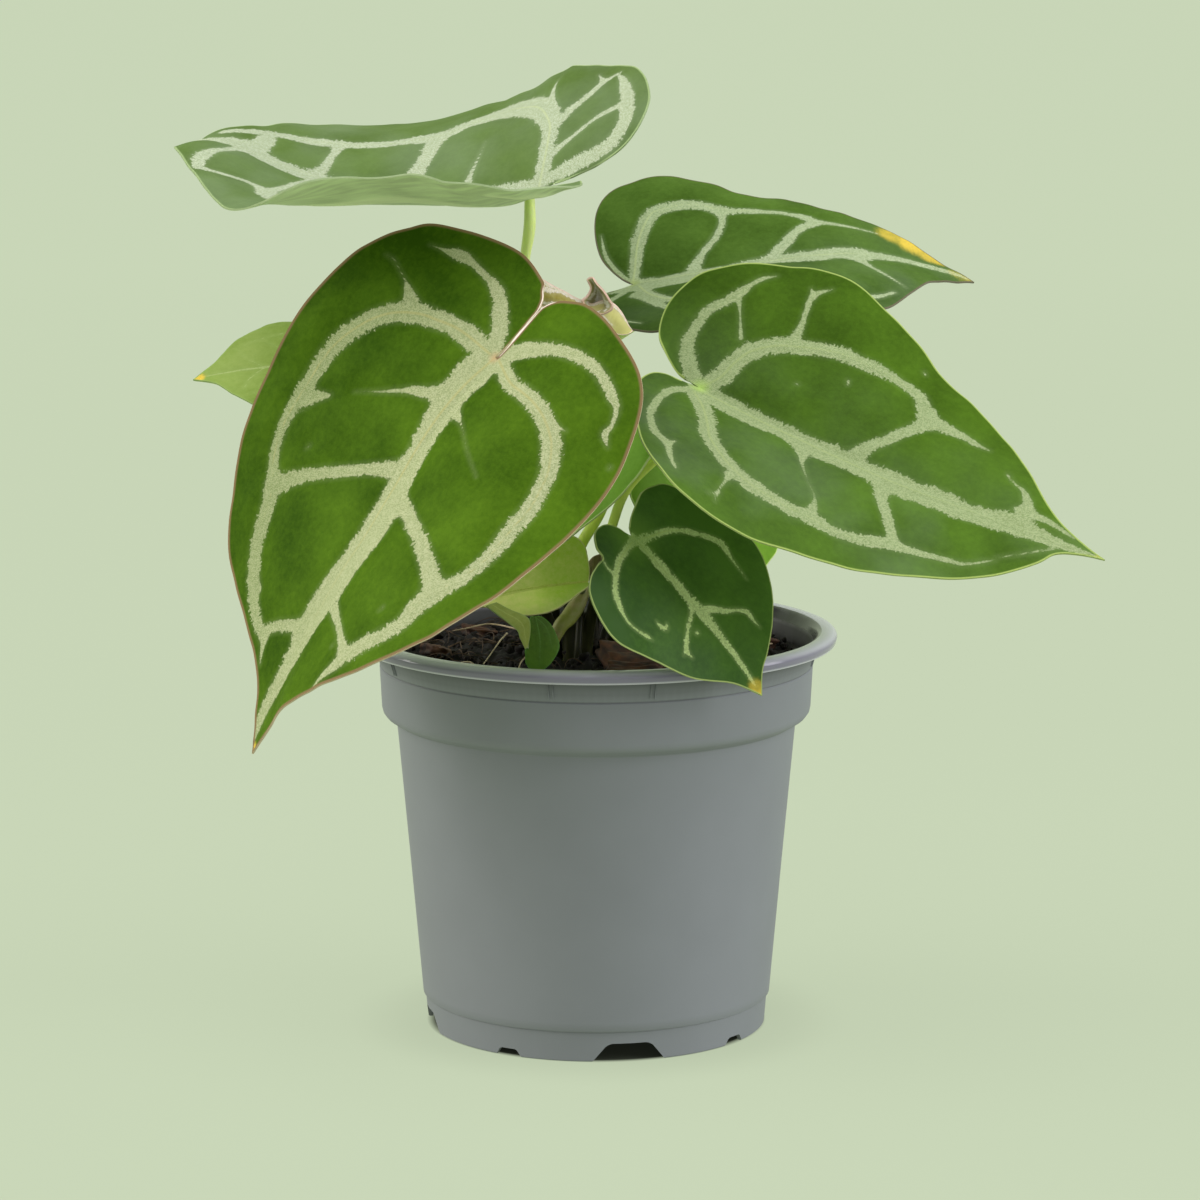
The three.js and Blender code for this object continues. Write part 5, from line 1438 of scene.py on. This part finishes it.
def build_bark():
    """Bark pieces half sunk in the peat, each a roughened, split block."""
    parts = []
    for k, (x, y, turn, size) in enumerate(BARK):
        part = primitive(bpy.ops.mesh.primitive_cube_add, size=1)
        for name, kind, levels in (("fine", "SIMPLE", 3), ("soft", "CATMULL_CLARK", 1)):
            finer = part.modifiers.new(name, "SUBSURF")
            finer.subdivision_type = kind
            finer.levels = finer.render_levels = levels
        apply_all(part)
        for v in part.data.vertices:
            v.co.z *= 0.8 + 0.5 * noise.noise(Vector((v.co.x * 2, v.co.y * 6, k * 3.7)))
            v.co *= 1 + 0.22 * noise.noise(v.co * 3 + Vector((k, 0, 0)))
        m = turned(x, y, float(soil_height(x, y)) + 0.35 * size[2] * 0.5, turn, size)
        set_points(part, get_points(part) @ m[:3, :3].T + m[:3, 3])
        parts.append(part)
    piece = join(parts, "bark_pieces")
    smooth_by_angle(piece, 45)
    return piece


# ------------------------------------------------------------------ crown
CROWN = Vector((-4, 3, 0))                          # the rootstock's middle, in mm
CROWN_RADIUS = 4.2
# sheaths: bearing, how tall, how far they lean out
SHEATHS = ((250, 14, 12), (20, 10, 16), (130, 11, 11), (310, 12, 14))
# the stub of an old leaf stem: points in mm, and how thick it is at each
STUB = [(-2.8, -9, 112.1, 1.4), (-3.6, -10, 109.7, 1.7), (-5, -11, 107.2, 2.1), (-6.7, -12.5, 104.9, 2.1),
        (-8.9, -14, 102.7, 1.8), (-11, -13.5, 98, 1.5), (-11.5, -12, 93, 1.3)]


def build_crown():
    """Models the crown: a short rootstock wrapped in the sheaths of old stems."""
    stock = primitive(bpy.ops.mesh.primitive_cylinder_add, vertices=48, radius=CROWN_RADIUS * MM,
                      depth=22 * MM, location=AXIS + (CROWN + Vector((0, 0, 93))) * MM)
    fine = stock.modifiers.new("fine", "REMESH")
    fine.mode = "VOXEL"
    fine.voxel_size = 0.7 * MM
    apply_all(stock)
    for v in stock.data.vertices:
        out = v.co - AXIS - CROWN * MM
        out.z = 0
        v.co += out * (0.12 * noise.noise(v.co * 400) + 0.06 * math.sin(v.co.z * 2200))
    parts = [stock]
    for bearing, tall, lean in SHEATHS:
        sheath = primitive(bpy.ops.mesh.primitive_grid_add, x_subdivisions=10, y_subdivisions=18, size=2)
        for v in sheath.data.vertices:
            u, t = v.co.x, (v.co.y + 1) / 2
            a = bearing * RAD + u * (0.75 * (1 - 0.75 * t ** 1.5))
            r = 4.3 + 1.2 * t * lean / 12 - 0.9 * u * u * t
            v.co = (CROWN + Vector((r * math.cos(a), r * math.sin(a), 95 + tall * t))) * MM + AXIS
        shell = sheath.modifiers.new("skin", "SOLIDIFY")
        shell.thickness = 0.35 * MM
        apply_all(sheath)
        parts.append(sheath)
    piece = join(parts, "crown_rootstock")
    smooth_by_angle(piece, 50)
    return piece


def build_stub():
    """The stub of an old leaf stem that leans out of the crown."""
    return tubes("crown_stub", [spaced(smooth_curve(STUB, 8), 30)], 1.0, 3, caps=True)


# ------------------------------------------------------------------ stage
PAPER_FLAT, PAPER_BEND, PAPER_RUN = 4.0, 2.0, 9.0   # flat length, bend radius and whole length, in m
PAPER_FRONT = -2.0                                  # where the paper starts, in front of the pot
LIGHTS = (                                          # name, place, size, watts, colour
    ("left softbox", (-1.5, -0.15, 0.9), (1.3, 1.3), 25.0, "#fffaf6"),
    ("right softbox", (1.5, -0.35, 0.8), (1.3, 1.3), 25.0, "#faf8ff"),
    ("top softbox", (-0.15, -0.5, 1.9), (1.5, 1.5), 20.0, "#ffffff"),
    ("front strip", (0.0, -2.4, 0.55), (2.2, 0.8), 6.0, "#fbfaff"))
AIM = Vector((0.93, 0, 107))                        # what the camera looks at, in mm
SENSOR = 36.0                                       # width of the camera's sensor, in mm


def build_sweep():
    """One sheet of paper: flat under the pot, curving up far behind it."""
    sweep = primitive(bpy.ops.mesh.primitive_grid_add, x_subdivisions=1, y_subdivisions=60, size=2)
    sweep.name = "backdrop_sweep"
    bend_run = PAPER_BEND * math.pi / 2
    for v in sweep.data.vertices:
        run = (v.co.y + 1) / 2 * PAPER_RUN
        x = v.co.x * PAPER_RUN
        past = run - PAPER_FLAT
        if past <= 0:
            v.co = (x, run + PAPER_FRONT, 0)
        elif past <= bend_run:
            a = past / PAPER_BEND
            v.co = (x, PAPER_FLAT + PAPER_FRONT + PAPER_BEND * math.sin(a), PAPER_BEND * (1 - math.cos(a)))
        else:
            v.co = (x, PAPER_FLAT + PAPER_FRONT + PAPER_BEND, PAPER_BEND + past - bend_run)
    smooth_by_angle(sweep, 60)
    return sweep


def paper_material(paper):
    """Evenly lit studio paper: most of its light is its own, with a painted shadow that fades it out under
    the pot, a painted contact shadow round the foot and painted brightening further behind; the rest takes
    the soft shadows."""
    material, tree = new_material("pale green studio paper")
    place = add(tree, "TexCoord").outputs["Object"]
    about = add(tree, "VectorMath", place, AXIS, operation="SUBTRACT")
    far = add(tree, "VectorMath", about, operation="LENGTH")
    # painted shadow: the paper's own light fades to almost nothing under the pot
    under = add(tree, "MapRange", far, 0.0405, 0.0428, 0.015, 1.0)
    # painted contact shadow round the foot
    beside = add(tree, "MapRange", far, 0.0425, 0.066, 0.79, 0.87, **SMOOTH)
    # painted brightening of the paper's own light further from the pot
    behind = add(tree, "MapRange", far, 0.4, 1.9, 1.0, 1.085)
    glow_with_painted_shade = add(tree, "Math", under, beside, operation="MULTIPLY")
    glow_with_painted_shade = add(tree, "Math", glow_with_painted_shade, behind, operation="MULTIPLY")
    shader = add(tree, "BsdfPrincipled", named={
        "Base Color": shaded(paper, 0.1), "Roughness": 1.0, "Specular IOR Level": 0.0,
        "Emission Color": paper, "Emission Strength": glow_with_painted_shade})
    add(tree, "OutputMaterial", shader)
    return material


# ------------------------------------------------------------------ operators
class AROID_OT_stage(bpy.types.Operator):
    """Sets the camera, the pale floor with its backdrop, and soft studio light"""
    bl_idname = "aroid.stage"
    bl_label = "Stage and camera"

    def execute(self, context):
        stage = context.scene.aroid_stage
        scene = context.scene
        e = stage.elevation
        place = AXIS + AIM * MM + Vector((0, -math.cos(e), math.sin(e))) * stage.distance
        camera = primitive(bpy.ops.object.camera_add, location=place, rotation=(math.pi / 2 - e, 0, 0))
        camera.data.sensor_width = SENSOR
        camera.data.lens = SENSOR * stage.focal / IMAGE
        camera.data.clip_end = 60.0
        scene.camera = camera
        scene.view_settings.view_transform = "Standard"

        sweep = build_sweep()
        sweep.data.materials.append(paper_material(tuple(stage.floor)))

        world = bpy.data.worlds.new("studio")
        world.use_nodes = True
        scene.world = world
        ground = world.node_tree.nodes["Background"]
        ground.inputs["Color"].default_value = linear("#f6f4fb")
        ground.inputs["Strength"].default_value = 0.38
        for name, spot, size, power, tone in LIGHTS:
            lamp = primitive(bpy.ops.object.light_add, type="AREA", location=spot)
            lamp.name = name
            lamp.data.shape = "RECTANGLE"
            lamp.data.size, lamp.data.size_y = size
            lamp.data.energy = power
            lamp.data.color = linear(tone)[:3]
            aim_at = Vector((0, 0, 0.12)) - Vector(spot)
            lamp.rotation_euler = aim_at.to_track_quat("-Z", "Y").to_euler()
        return {"FINISHED"}


class AROID_OT_pot(bpy.types.Operator):
    """Moulds the nursery pot with its rolled rim, collar, notched foot and ribs"""
    bl_idname = "aroid.pot"
    bl_label = "Nursery pot"

    def execute(self, context):
        pot = context.scene.aroid_pot
        plastic = pot_material(pot.plastic)
        claim(build_pot(pot), ["pot"], "pot_plastic", plastic)
        claim(build_ribs(), [], "pot_plastic", plastic)
        return {"FINISHED"}


class AROID_OT_peat(bpy.types.Operator):
    """Fills the pot with peat, crumbs, fibres, pale roots and bark"""
    bl_idname = "aroid.peat"
    bl_label = "Peat"

    def execute(self, context):
        pot = context.scene.aroid_pot
        claim(build_peat(), ["soil"], "peat", peat_material(pot.peat))
        # crumbs mottled over 4 mm, threads over 5.5 mm, roots over 2.5 mm and bark over 4 mm
        claim(build_crumbs(pot.crumbs), [], "peat",
              plain_material("peat crumbs", "#0b0705", "#1c130d", 260.0, 0.9))
        claim(build_fibres(pot.fibres), [], "peat",
              plain_material("moss and root fibres", "#20150d", "#54402b", 180.0, 0.8))
        claim(build_roots(), [], "peat",
              plain_material("pale live roots", "#a08a68", "#cdbb98", 400.0, 0.6))
        claim(build_bark(), [], "peat",
              plain_material("rotting pine bark", "#1c0e06", "#553010", 230.0, 0.75, 0.7))
        return {"FINISHED"}


class AROID_OT_crown(bpy.types.Operator):
    """Sets the short rootstock, its papery sheaths and the stub of an old stem"""
    bl_idname = "aroid.crown"
    bl_label = "Crown"

    def execute(self, context):
        # old tissue mottled over 3 mm, and the broken stem over 6 mm
        # the sheaths' near-black is partly their own dark brown and partly painted shade from the blades
        # above
        claim(build_crown(), ["crown"], "crown_tissue",
              plain_material("dark old stem sheaths", "#1e170d", "#352d18", 300.0, 0.7))
        claim(build_stub(), [], "crown_tissue",
              plain_material("old broken leaf stem", "#99a24a", "#c4b488", 160.0, 0.5))
        dress_leaves(["crown_sheath"], "crown_tissue", context.scene.aroid_leaf)
        return {"FINISHED"}


class AROID_OT_stems(bpy.types.Operator):
    """Grows every leaf's stem from the peat to its blade"""
    bl_idname = "aroid.stems"
    bl_label = "Stems"

    def execute(self, context):
        shade = context.scene.aroid_leaf.stem
        # the young skin is painted light for the stems in the blades' shade
        skin, young = stem_material(shade), stem_material(shade, young=True)
        for name in STEMS:
            claim(build_stem(name), ["stem_" + name], "leaf_stem", young if name in PAINTED_LIGHT_STEMS else skin)
        return {"FINISHED"}


def dress_leaves(names, slot_name, settings):
    """Builds and claims the blades of some leaves."""
    for name in names:
        piece = build_furl(name, settings) if name in FURLS else build_leaf(name, settings)
        claim(piece, [name] if name in LEAVES else [], slot_name)


class AROID_OT_grown_leaves(bpy.types.Operator):
    """Spreads the grown blades with their silver veins"""
    bl_idname = "aroid.grown_leaves"
    bl_label = "Grown leaves"

    def execute(self, context):
        dress_leaves([*GROWN, "leaf_inner_left", "leaf_inner_right", "leaf_curled_low",
                      "leaf_curled_low_wing"], "leaf_blade", context.scene.aroid_leaf)
        return {"FINISHED"}


class AROID_OT_young_leaves(bpy.types.Operator):
    """Spreads the pale and the bronze young blades"""
    bl_idname = "aroid.young_leaves"
    bl_label = "Young leaves"

    def execute(self, context):
        settings = context.scene.aroid_leaf
        dress_leaves(["leaf_far_left", "leaf_pale_folded"], "leaf_young", settings)
        dress_leaves(["leaf_young_bronze", "leaf_young_bronze_cup"], "leaf_bronze", settings)
        return {"FINISHED"}


class AROID_PT_panel(bpy.types.Panel):
    """Sizes, colours and the build steps"""
    bl_idname = "AROID_PT_panel"
    bl_label = "Potted aroid"
    bl_space_type = "VIEW_3D"
    bl_region_type = "UI"
    bl_category = "Aroid"

    def draw(self, context):
        layout = self.layout
        for title, key in (("Pot", "aroid_pot"), ("Leaves", "aroid_leaf"), ("Stage", "aroid_stage")):
            box = layout.box()
            box.label(text=title)
            group = getattr(context.scene, key)
            for prop in group.bl_rna.properties:
                if prop.identifier not in ("rna_type", "name"):
                    box.prop(group, prop.identifier)
        for operator in OPERATORS:
            layout.operator(operator.bl_idname)


GROUPS = {"aroid_pot": AroidPot, "aroid_leaf": AroidLeaf, "aroid_stage": AroidStage}
OPERATORS = (AROID_OT_stage, AROID_OT_pot, AROID_OT_peat, AROID_OT_crown, AROID_OT_stems,
             AROID_OT_grown_leaves, AROID_OT_young_leaves)


def register():
    """Registers the property groups, operators and panel."""
    for key, group in GROUPS.items():
        bpy.utils.register_class(group)
        setattr(bpy.types.Scene, key, bpy.props.PointerProperty(type=group))
    for operator in OPERATORS:
        bpy.utils.register_class(operator)
    bpy.utils.register_class(AROID_PT_panel)


def unregister():
    """Takes them out again."""
    bpy.utils.unregister_class(AROID_PT_panel)
    for operator in reversed(OPERATORS):
        bpy.utils.unregister_class(operator)
    for key, group in GROUPS.items():
        delattr(bpy.types.Scene, key)
        bpy.utils.unregister_class(group)


def main():
    """Builds the whole scene in order."""
    register()
    bpy.ops.aroid.stage()
    bpy.ops.aroid.pot()
    bpy.ops.aroid.peat()
    bpy.ops.aroid.crown()
    bpy.ops.aroid.stems()
    bpy.ops.aroid.grown_leaves()
    bpy.ops.aroid.young_leaves()


if __name__ == "__main__":
    main()
